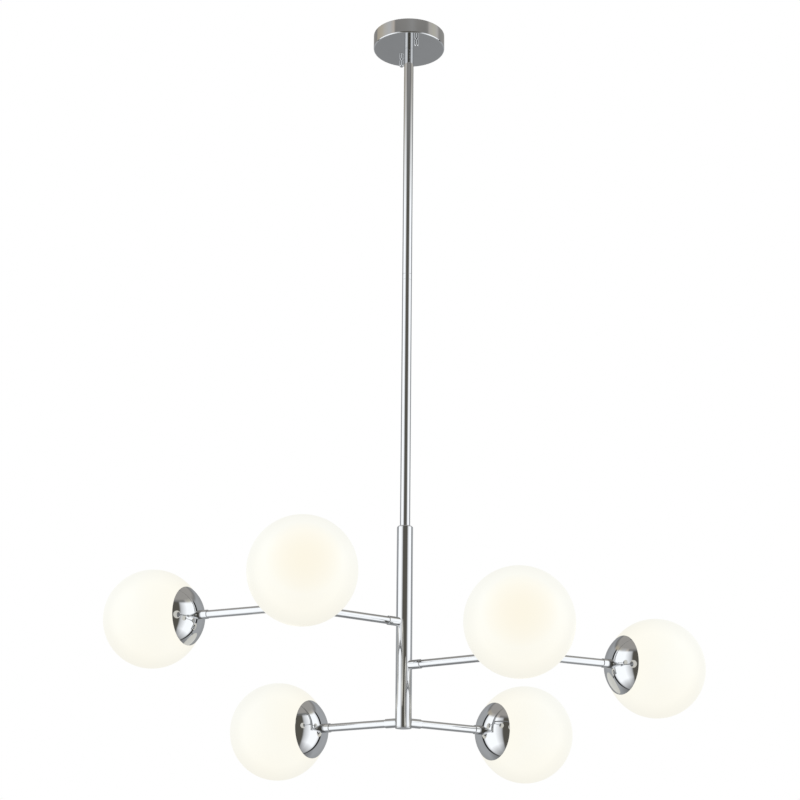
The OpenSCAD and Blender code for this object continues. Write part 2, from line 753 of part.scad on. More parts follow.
module fork_drum(k) {
    plain_h = fork_h - 2 * fork_bevel;
    color(CHROME) translate(FORKS[k][0]) difference() {
        union() {
            cylinder(d = fork_d, h = plain_h, center = true);
            for (face = [-1, 1]) scale([1, 1, face]) translate([0, 0, plain_h / 2])
                cylinder(r1 = fork_d / 2, r2 = fork_d / 2 - fork_bevel, h = fork_bevel);
        }
        for (turn = [180, -fork_spread_angle, fork_spread_angle])
            rotate([0, 0, FORKS[k][1] + turn]) bar_x(nipple_d / 2, 0, fork_d);
    }
}

// Cups, globes and lamps --------------------------------------------------

// The part of a sphere between two levels in front of a globe's centre
module sphere_slice(sphere_r, centre_t, low_t, high_t) {
    intersection() {
        translate([0, 0, centre_t]) sphere(r = sphere_r);
        translate([0, 0, low_t]) cylinder(r = sphere_r + cut, h = high_t - low_t);
    }
}

module cup(i) {
    color(CHROME) on_globe(i) difference() {
        sphere_slice(dome_r, dome_centre_t, cup_rim_t, cup_top_t);
        sphere_slice(dome_r - cup_wall, dome_centre_t, cup_rim_t - cut, cup_seat_t);
        translate([0, 0, cup_seat_t - cut]) cylinder(d = nipple_d, h = cup_top_wall + 2 * cut);
    }
}

module globe(i) {
    color(OPAL) on_globe(i) difference() {
        union() {
            sphere(r = globe_r);
            translate([0, 0, globe_r / 2]) cylinder(d = neck_d, h = neck_end_t - globe_r / 2);
        }
        sphere(r = globe_r - glass_wall);
        cylinder(r = neck_d / 2 - neck_wall, h = neck_end_t + cut);
    }
}

// Rubber ring that turns with the globe and keeps it off the cup
module gasket(i) {
    ball_t = on_sphere(globe_r, gasket_r);
    dome_t = dome_centre_t + on_sphere(dome_r - cup_wall, gasket_r);
    mid_t = (ball_t + dome_t) / 2;
    ball_gap = norm([gasket_r, mid_t]) - globe_r;
    dome_gap = dome_r - cup_wall - norm([gasket_r, mid_t - dome_centre_t]);
    color(NYLON) on_globe(i) translate([0, 0, mid_t])
        rotate_extrude() translate([gasket_r, 0]) circle(r = min(ball_gap, dome_gap) - gasket_gap, $fn = 32);
}

// Threaded seat that the globe's neck screws into, clamped in the cup by the nipple's nut
module screw_seats() {
    nipple_r = nipple_d / 2;
    boss_r = seat_boss_d / 2;
    flat_r = seat_flat_d / 2;
    thread_r = neck_d / 2 + run_gap;
    ring_r = thread_r + seat_wall;
    shoulder_t = neck_end_t + loose_gap;
    ring_low_t = shoulder_t - seat_ring_h;
    web_t = seat_face_t + seat_web;
    profile = [
        [nipple_r, seat_face_t], [flat_r, seat_face_t], [thread_r, shoulder_t],
        [thread_r, ring_low_t], [ring_r, ring_low_t], [ring_r, shoulder_t],
        [flat_r, web_t], [boss_r, web_t], [boss_r, cup_seat_t], [nipple_r, cup_seat_t]
    ];
    color(NYLON) for (i = [0 : 5]) on_globe(i) rotate_extrude() polygon(profile);
}

module lampholders() {
    color(CERAMIC) for (i = [0 : 5]) on_globe(i) difference() {
        union() {
            translate([0, 0, holder_face_t]) cylinder(d = holder_d, h = holder_len);
            translate([0, 0, holder_face_t + holder_len - cut])
                cylinder(d = holder_neck_d, h = holder_neck_len + cut);
        }
        translate([0, 0, nipple_in_t]) cylinder(d = nipple_d, h = holder_thread_len + cut);
        for (side = [-1, 1]) translate([side * pin_spacing / 2, 0, holder_face_t])
            cube([pin_w, pin_wire_d, 2 * pin_len] + 2 * pin_clear * [1, 1, 1], center = true);
    }
}

// A looped wire pin that points along +Z from z = 0
module looped_pin() {
    bend_r = (pin_w - pin_wire_d) / 2;
    for (side = [-1, 1]) translate([side * bend_r, 0, 0])
        cylinder(d = pin_wire_d, h = pin_len - pin_w / 2, $fn = 24);
    translate([0, 0, pin_len - pin_w / 2]) rotate([90, 0, 0])
        rotate_extrude(angle = 180, $fn = 24) translate([bend_r, 0]) circle(d = pin_wire_d, $fn = 24);
}

module bulb(i) {
    base_low_t = holder_face_t - bulb_base_h;
    tip_t = holder_face_t - bulb_len;
    color(OPAL) on_globe(i) {
        translate([-bulb_base_w / 2, -bulb_base_d / 2, base_low_t])
            cube([bulb_base_w, bulb_base_d, bulb_base_h]);
        translate([0, 0, tip_t + bulb_d / 2]) {
            cylinder(d = bulb_d, h = base_low_t - tip_t - bulb_d / 2);
            sphere(d = bulb_d);
        }
        for (side = [-1, 1]) translate([side * pin_spacing / 2, 0, holder_face_t - pin_root]) looped_pin();
    }
}

// Wiring ------------------------------------------------------------------

// The lead from the terminal block, bent into the nipple and down to the hub
module stem_lead() {
    on_strap() {
        translate([0, 0, lead_bend_z])
            bar_x(stem_lead_d / 2, -block_offset, -stem_lead_bend_r);
        translate([-stem_lead_bend_r, 0, lead_bend_z - stem_lead_bend_r]) rotate([90, 0, 0])
            rotate_extrude(angle = 90) translate([stem_lead_bend_r, 0]) circle(d = stem_lead_d);
        translate([0, 0, lead_low_z])
            cylinder(d = stem_lead_d, h = lead_bend_z - stem_lead_bend_r - lead_low_z);
    }
}

// A lead down the hub that bends out along an arm and ends at stop_x
module hub_lead(arm, stop_x) {
    bend_r = arm_lead_bend_r;
    side_x = arm_nut_x - thread_end - bend_r;
    along_hub_arm(arm) {
        translate([side_x, 0, bend_r])
            cylinder(d = arm_lead_d, h = lead_low_z - loose_gap - arm[1] - bend_r);
        translate([side_x + bend_r, 0, bend_r]) rotate([90, 0, 0]) rotate([0, 0, 180])
            rotate_extrude(angle = 90) translate([bend_r, 0]) circle(d = arm_lead_d);
        bar_x(arm_lead_d / 2, side_x + bend_r, stop_x);
    }
}

module wiring() {
    color(LEAD) {
        stem_lead();
        for (i = [0, 1]) hub_lead(HUB_ARMS[i], hub_to_fork_len - splice_r);
        for (i = [2, 3]) hub_lead(HUB_ARMS[i], hub_to_globe_len - nipple_in_t);
        for (i = [0 : 3]) along_branch(i)
            bar_x(arm_lead_d / 2, splice_r, fork_to_globe_len - nipple_in_t);
    }
}

ceiling_strap();
canopy_studs();
canopy();
terminal_block();
terminal_screws();
earth_lead();
stem_nipple();
earth_tag();
stem_lock_nut();
upper_rod();
rod_coupling();
lower_rod();
hub_bush();
hub_tube();
hub_foot();
saddle_ferrules();
cup_ferrules();
arm_nipples();
cup_nipples();
arm_nuts();
fork_arm(0);  // left_fork_arm
fork_arm(1);  // right_fork_arm
fork_drum(0);  // left_fork_drum
fork_drum(1);  // right_fork_drum
screw_seats();
lampholders();
wiring();
cap_nut_at(1);  // cap_nut_front
cap_nut_at(-1);  // cap_nut_back
for (i = [0 : 5]) {
    branch_arm(i);
    cup(i);
    bulb(i);
    gasket(i);
    globe(i);
}
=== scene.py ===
"""Branch chandelier: polished finishes, glowing opal globes and the studio around them."""

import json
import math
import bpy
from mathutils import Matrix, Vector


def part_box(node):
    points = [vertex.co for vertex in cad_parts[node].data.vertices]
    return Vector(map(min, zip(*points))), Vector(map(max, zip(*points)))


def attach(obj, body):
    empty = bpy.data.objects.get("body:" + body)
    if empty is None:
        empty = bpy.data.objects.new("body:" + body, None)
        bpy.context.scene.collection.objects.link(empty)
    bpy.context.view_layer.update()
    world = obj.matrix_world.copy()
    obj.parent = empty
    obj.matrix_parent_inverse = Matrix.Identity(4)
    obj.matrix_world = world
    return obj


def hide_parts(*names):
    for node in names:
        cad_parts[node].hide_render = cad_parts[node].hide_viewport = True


bl_info = {
    "name": "Branch chandelier",
    "version": (1, 0, 0),
    "blender": (4, 5, 0),
    "location": "3D View > Sidebar > Chandelier",
    "description": "Turns the chandelier's chrome and glass pieces and lights them in a plain studio",
    "category": "Object",
}

import bmesh
import bpy
from mathutils import Matrix, Vector

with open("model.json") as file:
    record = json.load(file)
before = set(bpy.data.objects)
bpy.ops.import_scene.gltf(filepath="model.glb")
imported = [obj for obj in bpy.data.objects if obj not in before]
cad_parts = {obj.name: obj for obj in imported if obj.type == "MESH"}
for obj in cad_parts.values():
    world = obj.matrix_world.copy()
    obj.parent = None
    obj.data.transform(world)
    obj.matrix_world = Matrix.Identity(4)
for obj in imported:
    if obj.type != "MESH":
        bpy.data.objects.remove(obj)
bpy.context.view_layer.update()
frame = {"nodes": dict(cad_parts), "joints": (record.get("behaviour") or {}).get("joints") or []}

MM = 0.001
UP = Vector((0.0, 0.0, 1.0))
LAMPS = ("outer_left", "front_left", "front_right", "outer_right", "low_left", "low_right")
FORKS = ("left", "right")
JOINTS = {joint["name"]: joint for joint in frame["joints"]}
TINY = 1e-9  # metres below which a length counts as none

# Corners round a turned piece: on tubes, on the hub and the drums, on globes, on wide rims.
TUBE_STEPS, DRUM_STEPS, GLOBE_STEPS, RIM_STEPS = 96, 128, 160, 192

# Where a ferrule is looked for: from its tube's line, and along it from the hub and from a globe.
NEAR_LINE, HUB_REACH, GLOBE_REACH = 20 * MM, 60 * MM, 120 * MM

# A cap nut's turning, as shares of its height up from its tip; NUT_TIP is a share of its radius.
NUT_TIP, NUT_BEVEL, NUT_COLLAR, NUT_FLOOR = 0.72, 0.09, 0.90, 0.2
NUT_KNURL = (0.13, 0.16, 0.40, 0.42, 0.47, 0.49, 0.84, 0.87)
NUT_GROOVE, NUT_GROOVE_HALF = 0.445, 0.02
NUT_TEETH = 24


# Measuring the frame ------------------------------------------------------------------


def corners(node):
    """The corners of the node's mesh, in the lamp's frame."""
    return [v.co for v in frame["nodes"][node].data.vertices]


def measured(node, origin, axis, within=1.0, reach=10.0):
    """(distance along the axis, radius about it) of the node's corners that lie within that
    radius and that reach."""
    found = []
    for corner in corners(node):
        out = corner - origin
        along = out.dot(axis)
        radius = (out - axis * along).length
        if radius < within and 0 <= along < reach:
            found.append((along, radius))
    return found


def span(node, origin, axis, within=1.0, reach=10.0):
    """Nearest and furthest distance of the node along the axis."""
    alongs = [along for along, _ in measured(node, origin, axis, within, reach)]
    return min(alongs), max(alongs)


def radii(node, origin, axis, within=1.0, reach=10.0):
    """Smallest and largest radius of the node about the axis."""
    found = [radius for _, radius in measured(node, origin, axis, within, reach)]
    return min(found), max(found)


def ring_radii(node, origin, axis, level, slack=0.02 * MM):
    """Smallest and largest radius of the node's corners at one distance along the axis."""
    found = [r for along, r in measured(node, origin, axis) if abs(along - level) < slack]
    return min(found), max(found)


def middle(node):
    """The middle of the node's box at rest."""
    low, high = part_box(node)
    return (low + high) / 2


def place_on(origin, axis, towards=UP):
    """A matrix whose Z runs along the axis from the origin, with X as near towards as it goes."""
    side = axis.cross(towards).normalized()
    front = side.cross(axis).normalized()
    turn = Matrix((front, side, axis)).transposed()
    if turn.determinant() < 0:
        turn = Matrix((front, -side, axis)).transposed()
    return Matrix.Translation(origin) @ turn.to_4x4()


def lamp_line(lamp):
    """Centre of a globe and the direction from it back to its arm."""
    joint = JOINTS["globe_" + lamp + "_turn"]
    return Vector(joint["pos_m"]), -Vector(joint["axis"]).normalized()


# Turning and joining meshes ------------------------------------------------------------


def softened(outline, radius, steps=3, least_turn=20.0):
    """The closed outline with each sharp corner rounded by a small curve."""
    soft = []
    count = len(outline)
    for i, point in enumerate(outline):
        here = Vector(point)
        before = Vector(outline[i - 1]) - here
        after = Vector(outline[(i + 1) % count]) - here
        if before.length < TINY or after.length < TINY:
            continue
        turn = math.degrees(math.pi - before.angle(after))
        if turn < least_turn or here.x < TINY:
            soft.append(tuple(here))
            continue
        size = min(radius, 0.45 * before.length, 0.45 * after.length)
        start = here + before.normalized() * size
        end = here + after.normalized() * size
        for step in range(steps + 1):
            t = step / steps
            soft.append(tuple(start * (1 - t) ** 2 + here * 2 * t * (1 - t) + end * t**2))
    return soft


def arc(radius, centre, start, end, steps):
    """(radius, height) points on a sphere about the axis, between two heights."""
    points = []
    first = math.acos(max(-1.0, min(1.0, (start - centre) / radius)))
    last = math.acos(max(-1.0, min(1.0, (end - centre) / radius)))
    for step in range(steps + 1):
        turn = first + (last - first) * step / steps
        points.append((radius * math.sin(turn), centre + radius * math.cos(turn)))
    return points


def turn_outline(bm, outline, place, segments=TUBE_STEPS, saddle=None, saddle_below=None, wave=None):
    """Turns a closed (radius, height) outline about Z and adds it to the mesh.

    Corners below saddle_below are pushed out along Z onto a crossing cylinder of radius saddle.
    wave gives a corner's radius from its radius, height and turn.
    """
    rings = []
    for radius, height in outline:
        if radius < TINY:
            rings.append([bm.verts.new(place @ Vector((0.0, 0.0, height)))])
            continue
        ring = []
        for k in range(segments):
            turn = 2 * math.pi * k / segments
            r = wave(radius, height, turn) if wave else radius
            z = height
            if saddle is not None and height < saddle_below:
                z += math.sqrt(saddle**2 - (r * math.sin(turn)) ** 2) - saddle
            corner = Vector((r * math.cos(turn), r * math.sin(turn), z))
            ring.append(bm.verts.new(place @ corner))
        rings.append(ring)
    count = len(rings)
    for i in range(count):
        a, b = rings[i], rings[(i + 1) % count]
        if len(a) == 1 and len(b) == 1:
            continue
        for k in range(segments):
            n = (k + 1) % segments
            if len(a) == 1:
                bm.faces.new((a[0], b[n], b[k]))
            elif len(b) == 1:
                bm.faces.new((a[k], a[n], b[0]))
            else:
                bm.faces.new((a[k], a[n], b[n], b[k]))


def tube_outline(outer, inner, low, high):
    """The outline of a plain tube between two heights."""
    return [(inner, low), (outer, low), (outer, high), (inner, high)]


def finish_piece(name, bm, material, body, nodes, place=None):
    """Makes the piece, gives it its finish, and lets it stand for its nodes."""
    bmesh.ops.recalc_face_normals(bm, faces=bm.faces)
    mesh = bpy.data.meshes.new(name)
    if place is not None:
        bm.transform(place.inverted())
    bm.to_mesh(mesh)
    bm.free()
    mesh.shade_smooth()
    mesh.set_sharp_from_angle(angle=math.radians(32.0))
    piece = bpy.data.objects.new(name, mesh)
    if place is not None:
        piece.matrix_world = place
    bpy.context.scene.collection.objects.link(piece)
    piece.data.materials.append(material)
    weigh = piece.modifiers.new("Even shading", "WEIGHTED_NORMAL")
    weigh.weight = 100
    weigh.keep_sharp = True
    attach(piece, body)
    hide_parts(*nodes)
    return piece


def chrome_piece(name, node, outline, place=None, segments=TUBE_STEPS, body="root", wave=None):
    """Turns one outline into a chrome piece that stands for one node."""
    bm = bmesh.new()
    turn_outline(bm, outline, Matrix.Identity(4) if place is None else place, segments, wave=wave)
    finish_piece(name, bm, chrome(), body, [node], place)


# Finishes --------------------------------------------------------------------------------


def node_group(name, inputs, outputs):
    """A new shader node group that holds only its input and output sockets."""
    group = bpy.data.node_groups.new(name, "ShaderNodeTree")
    for label, kind, default in inputs:
        socket = group.interface.new_socket(name=label, in_out="INPUT", socket_type=kind)
        socket.default_value = default
    for label, kind in outputs:
        group.interface.new_socket(name=label, in_out="OUTPUT", socket_type=kind)
    return group


def add(tree, kind, **values):
    """A new node in the tree, with its settings."""
    node = tree.nodes.new(kind)
    for key, value in values.items():
        setattr(node, key, value)
    return node


def placed(tree, name, make, *values):
    """The node group of that name, made on first use, as a node in the tree."""
    group = bpy.data.node_groups.get(name) or make(name, *values)
    return add(tree, "ShaderNodeGroup", node_tree=group)


def set_inputs(node, **values):
    """Sets the node's inputs by name, with _ for a space."""
    for key, value in values.items():
        node.inputs[key.replace("_", " ")].default_value = value
    return node


def mixed(tree, factor, first, second):
    """A colour mix of two colours or sockets by a factor socket."""
    mix = add(tree, "ShaderNodeMix", data_type="RGBA")
    for socket, value in ((mix.inputs[6], first), (mix.inputs[7], second)):
        if isinstance(value, bpy.types.NodeSocket):
            tree.links.new(value, socket)
        else:
            socket.default_value = (*value[:3], 1.0)
    tree.links.new(factor, mix.inputs[0])
    return mix.outputs[2]


def worked_out(tree, operation, *values):
    """The result of a math node that takes sockets or plain numbers."""
    node = add(tree, "ShaderNodeMath", operation=operation)
    for socket, value in zip(node.inputs, values):
        if isinstance(value, bpy.types.NodeSocket):
            tree.links.new(value, socket)
        else:
            socket.default_value = value
    return node.outputs[0]


def mapped(tree, value, low, high, out_low, out_high):
    """The value's place between low and high, moved to between out_low and out_high."""
    node = add(tree, "ShaderNodeMapRange")
    set_inputs(node, From_Min=low, From_Max=high, To_Min=out_low, To_Max=out_high)
    tree.links.new(value, node.inputs["Value"])
    return node.outputs["Result"]


def handling_marks_group(name):
    """Fine polishing lines and faint smudges, for plated and turned metal."""
    group = node_group(
        name,
        (("Smudge Scale", "NodeSocketFloat", 60.0), ("Line Scale", "NodeSocketFloat", 900.0)),
        (("Smudge", "NodeSocketFloat"), ("Height", "NodeSocketFloat")),
    )
    entry, leave = add(group, "NodeGroupInput"), add(group, "NodeGroupOutput")
    where = add(group, "ShaderNodeTexCoord")
    smudge = set_inputs(add(group, "ShaderNodeTexNoise"), Detail=5.0, Roughness=0.62)
    lines = set_inputs(add(group, "ShaderNodeTexNoise"), Detail=3.0, Roughness=0.5)
    for noise, scale in ((smudge, "Smudge Scale"), (lines, "Line Scale")):
        group.links.new(where.outputs["Object"], noise.inputs["Vector"])
        group.links.new(entry.outputs[scale], noise.inputs["Scale"])
    group.links.new(smudge.outputs["Fac"], leave.inputs["Smudge"])
    group.links.new(lines.outputs["Fac"], leave.inputs["Height"])
    return group


def moulded_grain_group(name):
    """Soft mottling and a fine grain, for plastic, ceramic, rubber and paint."""
    group = node_group(
        name,
        (("Mottle Scale", "NodeSocketFloat", 40.0), ("Grain Scale", "NodeSocketFloat", 700.0)),
        (("Mottle", "NodeSocketFloat"), ("Grain", "NodeSocketFloat")),
    )
    entry, leave = add(group, "NodeGroupInput"), add(group, "NodeGroupOutput")
    where = add(group, "ShaderNodeTexCoord")
    mottle = set_inputs(add(group, "ShaderNodeTexNoise"), Detail=4.0, Roughness=0.55)
    grain = set_inputs(add(group, "ShaderNodeTexVoronoi"), Randomness=1.0)
    for texture, scale in ((mottle, "Mottle Scale"), (grain, "Grain Scale")):
        group.links.new(where.outputs["Object"], texture.inputs["Vector"])
        group.links.new(entry.outputs[scale], texture.inputs["Scale"])
    group.links.new(mottle.outputs["Fac"], leave.inputs["Mottle"])
    group.links.new(grain.outputs["Distance"], leave.inputs["Grain"])
    return group


def glow_and_painted_shade_group(name):
    """Painted shade in a globe's glow, shown as a warmer tone: near its cup where the socket shades the
    glass, beyond the bulb's tip where less light falls, and on its underside; and a cloud.
    """
    group = node_group(
        name,
        (("Radius", "NodeSocketFloat", 0.075), ("Cloud Scale", "NodeSocketFloat", 14.0)),
        (("Painted Shade", "NodeSocketFloat"), ("Cloud", "NodeSocketFloat")),
    )
    entry, leave = add(group, "NodeGroupInput"), add(group, "NodeGroupOutput")
    where = add(group, "ShaderNodeTexCoord")
    split = add(group, "ShaderNodeSeparateXYZ")
    group.links.new(where.outputs["Object"], split.inputs[0])
    warmth = None
    # Painted shade: the side, where the warmer shade starts and is full, as shares of the radius, and how
    # strong it gets.
    cup, tip, underside = ("Z", 0.1, 1.0, 0.55), ("Z", -0.70, -1.0, 1.0), ("X", 0.3, -1.0, 0.45)
    # Each part paints shade into the glow as a warmer tone; the darkest of them is kept.
    for side, near, far, most in (cup, tip, underside):
        share = worked_out(group, "DIVIDE", split.outputs[side], entry.outputs["Radius"])
        part = mapped(group, share, near, far, 0.0, most)
        warmth = part if warmth is None else worked_out(group, "MAXIMUM", warmth, part)
    noise = set_inputs(add(group, "ShaderNodeTexNoise"), Detail=2.0, Roughness=0.5)
    group.links.new(where.outputs["Object"], noise.inputs["Vector"])
    group.links.new(entry.outputs["Cloud Scale"], noise.inputs["Scale"])
    group.links.new(warmth, leave.inputs["Painted Shade"])
    group.links.new(noise.outputs["Fac"], leave.inputs["Cloud"])
    return group


def new_material(name):
    """A material, its tree and its surface shader."""
    material = bpy.data.materials.new(name)
    material.use_nodes = True
    tree = material.node_tree
    shader = tree.nodes["Principled BSDF"]
    return material, tree, shader


def bump_from(tree, height, strength, distance):
    """The normal that a height socket bends."""
    bump = set_inputs(add(tree, "ShaderNodeBump"), Strength=strength, Distance=distance)
    tree.links.new(height, bump.inputs["Height"])
    return bump.outputs["Normal"]


def metal(name, bright, dull, roughness, smudge_scale=60.0, line_scale=900.0, bump=0.004):
    """A plated or turned metal with smudges in its gloss and fine polishing marks."""
    material, tree, shader = new_material(name)
    marks = placed(tree, "Handling marks", handling_marks_group)
    set_inputs(marks, Smudge_Scale=smudge_scale, Line_Scale=line_scale)
    shader.inputs["Metallic"].default_value = 1.0
    smudge = marks.outputs["Smudge"]
    tree.links.new(mixed(tree, smudge, bright, dull), shader.inputs["Base Color"])
    tree.links.new(mapped(tree, smudge, 0.35, 0.7, *roughness), shader.inputs["Roughness"])
    normal = bump_from(tree, marks.outputs["Height"], bump, 0.05 * MM)
    tree.links.new(normal, shader.inputs["Normal"])
    return material


def moulded(name, light, dark, roughness, bump=0.1, glow=None, grain_scale=700.0):
    """A moulded plastic, fired ceramic or rubber surface."""
    material, tree, shader = new_material(name)
    grain = placed(tree, "Moulded grain", moulded_grain_group)
    set_inputs(grain, Grain_Scale=grain_scale)
    tint = mixed(tree, grain.outputs["Mottle"], light, dark)
    tree.links.new(tint, shader.inputs["Base Color"])
    gloss = mapped(tree, grain.outputs["Mottle"], 0.3, 0.7, *roughness)
    tree.links.new(gloss, shader.inputs["Roughness"])
    normal = bump_from(tree, grain.outputs["Grain"], bump, 0.1 * MM)
    tree.links.new(normal, shader.inputs["Normal"])
    if glow:
        tree.links.new(tint, shader.inputs["Emission Color"])
        shader.inputs["Emission Strength"].default_value = glow
    return material


def opal_glass(finishes):
    """White flashed glass with a soft sheen, lit from inside and a little dimmer at its edge, with painted
    shade as a warmer glow near the cup, beyond the bulb's tip and below.
    """
    material, tree, shader = new_material("Opal glass")
    tone = placed(tree, "Glow and painted shade", glow_and_painted_shade_group)
    # Painted shade: the glow turns warmer near the cup, beyond the bulb's tip and on the underside.
    shaded_glow = mixed(tree, tone.outputs["Painted Shade"], finishes.glow_cool, finishes.glow_shade_and_cloud)
    faint = mapped(tree, tone.outputs["Cloud"], 0.35, 0.65, 0.0, 0.10)
    tree.links.new(mixed(tree, faint, shaded_glow, finishes.glow_shade_and_cloud), shader.inputs["Emission Color"])
    body = mixed(tree, tone.outputs["Cloud"], finishes.opal_light, finishes.opal_dark)
    tree.links.new(body, shader.inputs["Base Color"])
    gloss = mapped(tree, tone.outputs["Cloud"], 0.3, 0.7, 0.36, 0.44)
    tree.links.new(gloss, shader.inputs["Roughness"])
    shader.inputs["Specular IOR Level"].default_value = 0.12
    limb = add(tree, "ShaderNodeLayerWeight")
    limb.inputs["Blend"].default_value = 0.5
    strength = finishes.glow_strength
    glow = mapped(tree, limb.outputs["Facing"], 0.3, 1.0, strength, strength - finishes.limb_dimming)
    tree.links.new(glow, shader.inputs["Emission Strength"])
    return material


def material_named(name, make):
    """The material, made on first use."""
    return bpy.data.materials.get(name) or make()


def chrome():
    """The plate on every piece that shows."""
    finishes = bpy.context.scene.lamp_finishes
    rough = (finishes.chrome_roughness, finishes.chrome_roughness * 2)
    return material_named(
        "Chrome plate", lambda: metal("Chrome plate", finishes.chrome_bright, finishes.chrome_dull, rough)
    )


def opal():
    """The glass of the globes."""
    return material_named("Opal glass", lambda: opal_glass(bpy.context.scene.lamp_finishes))


# Settings --------------------------------------------------------------------------------


def colour(label, text, value):
    """A colour that the user can set."""
    return bpy.props.FloatVectorProperty(
        name=label, description=text, subtype="COLOR", size=3, min=0.0, max=1.0, default=value
    )


def length(label, text, value):
    """A length in metres."""
    return bpy.props.FloatProperty(
        name=label, description=text, subtype="DISTANCE", unit="LENGTH", min=0.0, default=value
    )


def heights(label, text, low, high):
    """Two heights in metres, measured up from the ceiling that carries the lamp."""
    return bpy.props.FloatVectorProperty(
        name=label, description=text, subtype="TRANSLATION", unit="LENGTH", size=2, default=(low, high)
    )


def number(label, text, value, high=10.0):
    """A plain number from 0 upwards."""
    return bpy.props.FloatProperty(name=label, description=text, min=0.0, max=high, default=value)


def angle(label, text, degrees):
    """An angle, given here in degrees."""
    return bpy.props.FloatProperty(
        name=label, description=text, subtype="ANGLE", unit="ROTATION", default=math.radians(degrees)
    )


class LampFinishes(bpy.types.PropertyGroup):
    """Colours and gloss of the chandelier's surfaces."""

    chrome_bright: colour("Chrome, bright", "Reflected tint of clean plate", (0.585, 0.592, 0.600))
    chrome_dull: colour("Chrome, dull", "Reflected tint of smudged plate", (0.545, 0.550, 0.556))
    chrome_roughness: number("Chrome roughness", "Blur of the plate's reflections", 0.025, high=1.0)
    glow_cool: colour("Glow, cool", "Glow on the far and upper side of a globe", (1.0, 0.998, 0.935))
    # Painted shade: the warmer glow near the cup, beyond the bulb's tip and below; it also tints the
    # glass's random clouds.
    glow_shade_and_cloud: colour("Glow, warm", "Glow near the cup, the bulb's tip and below", (1.0, 0.945, 0.80))
    glow_strength: number("Glow strength", "How strongly the globes glow", 0.925)
    limb_dimming: number("Limb dimming", "How much weaker the glow is at a globe's edge", 0.13)
    opal_light: colour("Opal, light", "Glass colour", (0.09, 0.09, 0.088))
    opal_dark: colour("Opal, dark", "Glass colour in its clouds", (0.08, 0.08, 0.078))


class LampShapes(bpy.types.PropertyGroup):
    """Small shapes that the maker sets on top of the frame's sizes."""

    edge_round: length("Edge rounding", "Rounding of turned edges", 0.35 * MM)
    rim_round: length("Rim rounding", "Rounding of a cup's rim", 0.45 * MM)
    canopy_round: length("Canopy rounding", "Rounding of the canopy's lower edge", 2.0 * MM)
    sheet: length("Sheet", "Thickness of spun sheet", 1.0 * MM)
    glass_wall: length("Glass wall", "Thickness of a globe's glass", 2.5 * MM)
    knurl_depth: length("Knurl depth", "Depth of the cap nuts' knurl", 0.3 * MM)
    thread_depth: length("Thread depth", "Depth of a globe's glass thread", 0.5 * MM)


class LampStudio(bpy.types.PropertyGroup):
    """Camera, light panels and floor."""

    lens: bpy.props.FloatProperty(
        name="Lens", description="Focal length", subtype="DISTANCE_CAMERA", default=80.40
    )
    camera_at: bpy.props.FloatVectorProperty(
        name="Camera", description="Where the camera stands", subtype="TRANSLATION",
        unit="LENGTH", size=3, default=(-0.0630, -2.7040, -1.5369)
    )
    camera_pitch: angle("Pitch", "Camera's tilt above the horizon", 18.10)
    camera_yaw: angle("Yaw", "Camera's turn to the right", 1.13)
    camera_roll: angle("Roll", "Camera's lean", 0.54)
    floor_level: length("Floor depth", "Floor below the ceiling", 2.90)
    floor_colour: colour("Floor", "Pale floor", (0.74, 0.74, 0.73))
    fill: number("Fill", "Light from all round", 0.62)
    panel_distance: length("Studio radius", "From the stem to the studio's walls", 2.3)
    wall_top: length("Wall height", "Top of the studio's walls above the lamp's ceiling", 2.2)
    panel_light: number("Panel tone", "Brightness of the light panels in the plate", 1.75)
    panel_fade: heights("Panel fade", "Heights between which the panels fade upwards", 0.72, 1.15)
    upper_fade: heights(
        "Upper fade", "Heights between which the walls turn to the ceiling's tone", 0.9, 1.75
    )
    flag_tone: colour("Flag", "Dark flag behind the camera", (0.150, 0.142, 0.120))
    ceiling_tone: colour("Ceiling", "Studio ceiling", (0.52, 0.50, 0.47))
    light_distance: length("Light distance", "From the stem to the lights", 3.2)
    light_height: length("Light height", "Height of the lights above the lamp's ceiling", 0.6)
    panel_size: bpy.props.FloatVectorProperty(
        name="Light size", description="Width and height of the lights", subtype="XYZ_LENGTH",
        unit="LENGTH", size=2, default=(1.6, 2.4)
    )
    panel_power: bpy.props.FloatProperty(
        name="Light power", description="Power of each light", unit="POWER", default=22.0
    )


# Operators -------------------------------------------------------------------------------


class CHANDELIER_OT_canopy(bpy.types.Operator):
    """Spin the ceiling canopy from sheet, with its rounded lower edge and its middle hole"""

    bl_idname = "chandelier.canopy"
    bl_label = "Canopy"

    def execute(self, context):
        shapes = context.scene.lamp_shapes
        low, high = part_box("canopy")
        radius = (high.x - low.x) / 2
        hole = ring_radii("canopy", Vector((0, 0, low.z)), UP, 0.0)[0]
        wall, round_r, steps = shapes.sheet, shapes.canopy_round, 8
        outside, inside = [], []
        for step in range(steps + 1):
            turn = math.pi / 2 * step / steps
            for side, size in ((outside, round_r), (inside, round_r - wall)):
                side.append((radius - round_r + size * math.sin(turn),
                             low.z + round_r - size * math.cos(turn)))
        outline = [(hole, low.z)] + outside + [(radius, high.z), (radius - wall, high.z)]
        outline += inside[::-1] + [(hole, low.z + wall)]
        chrome_piece("canopy_shell", "canopy", softened(outline, shapes.edge_round), segments=RIM_STEPS)
        return {"FINISHED"}


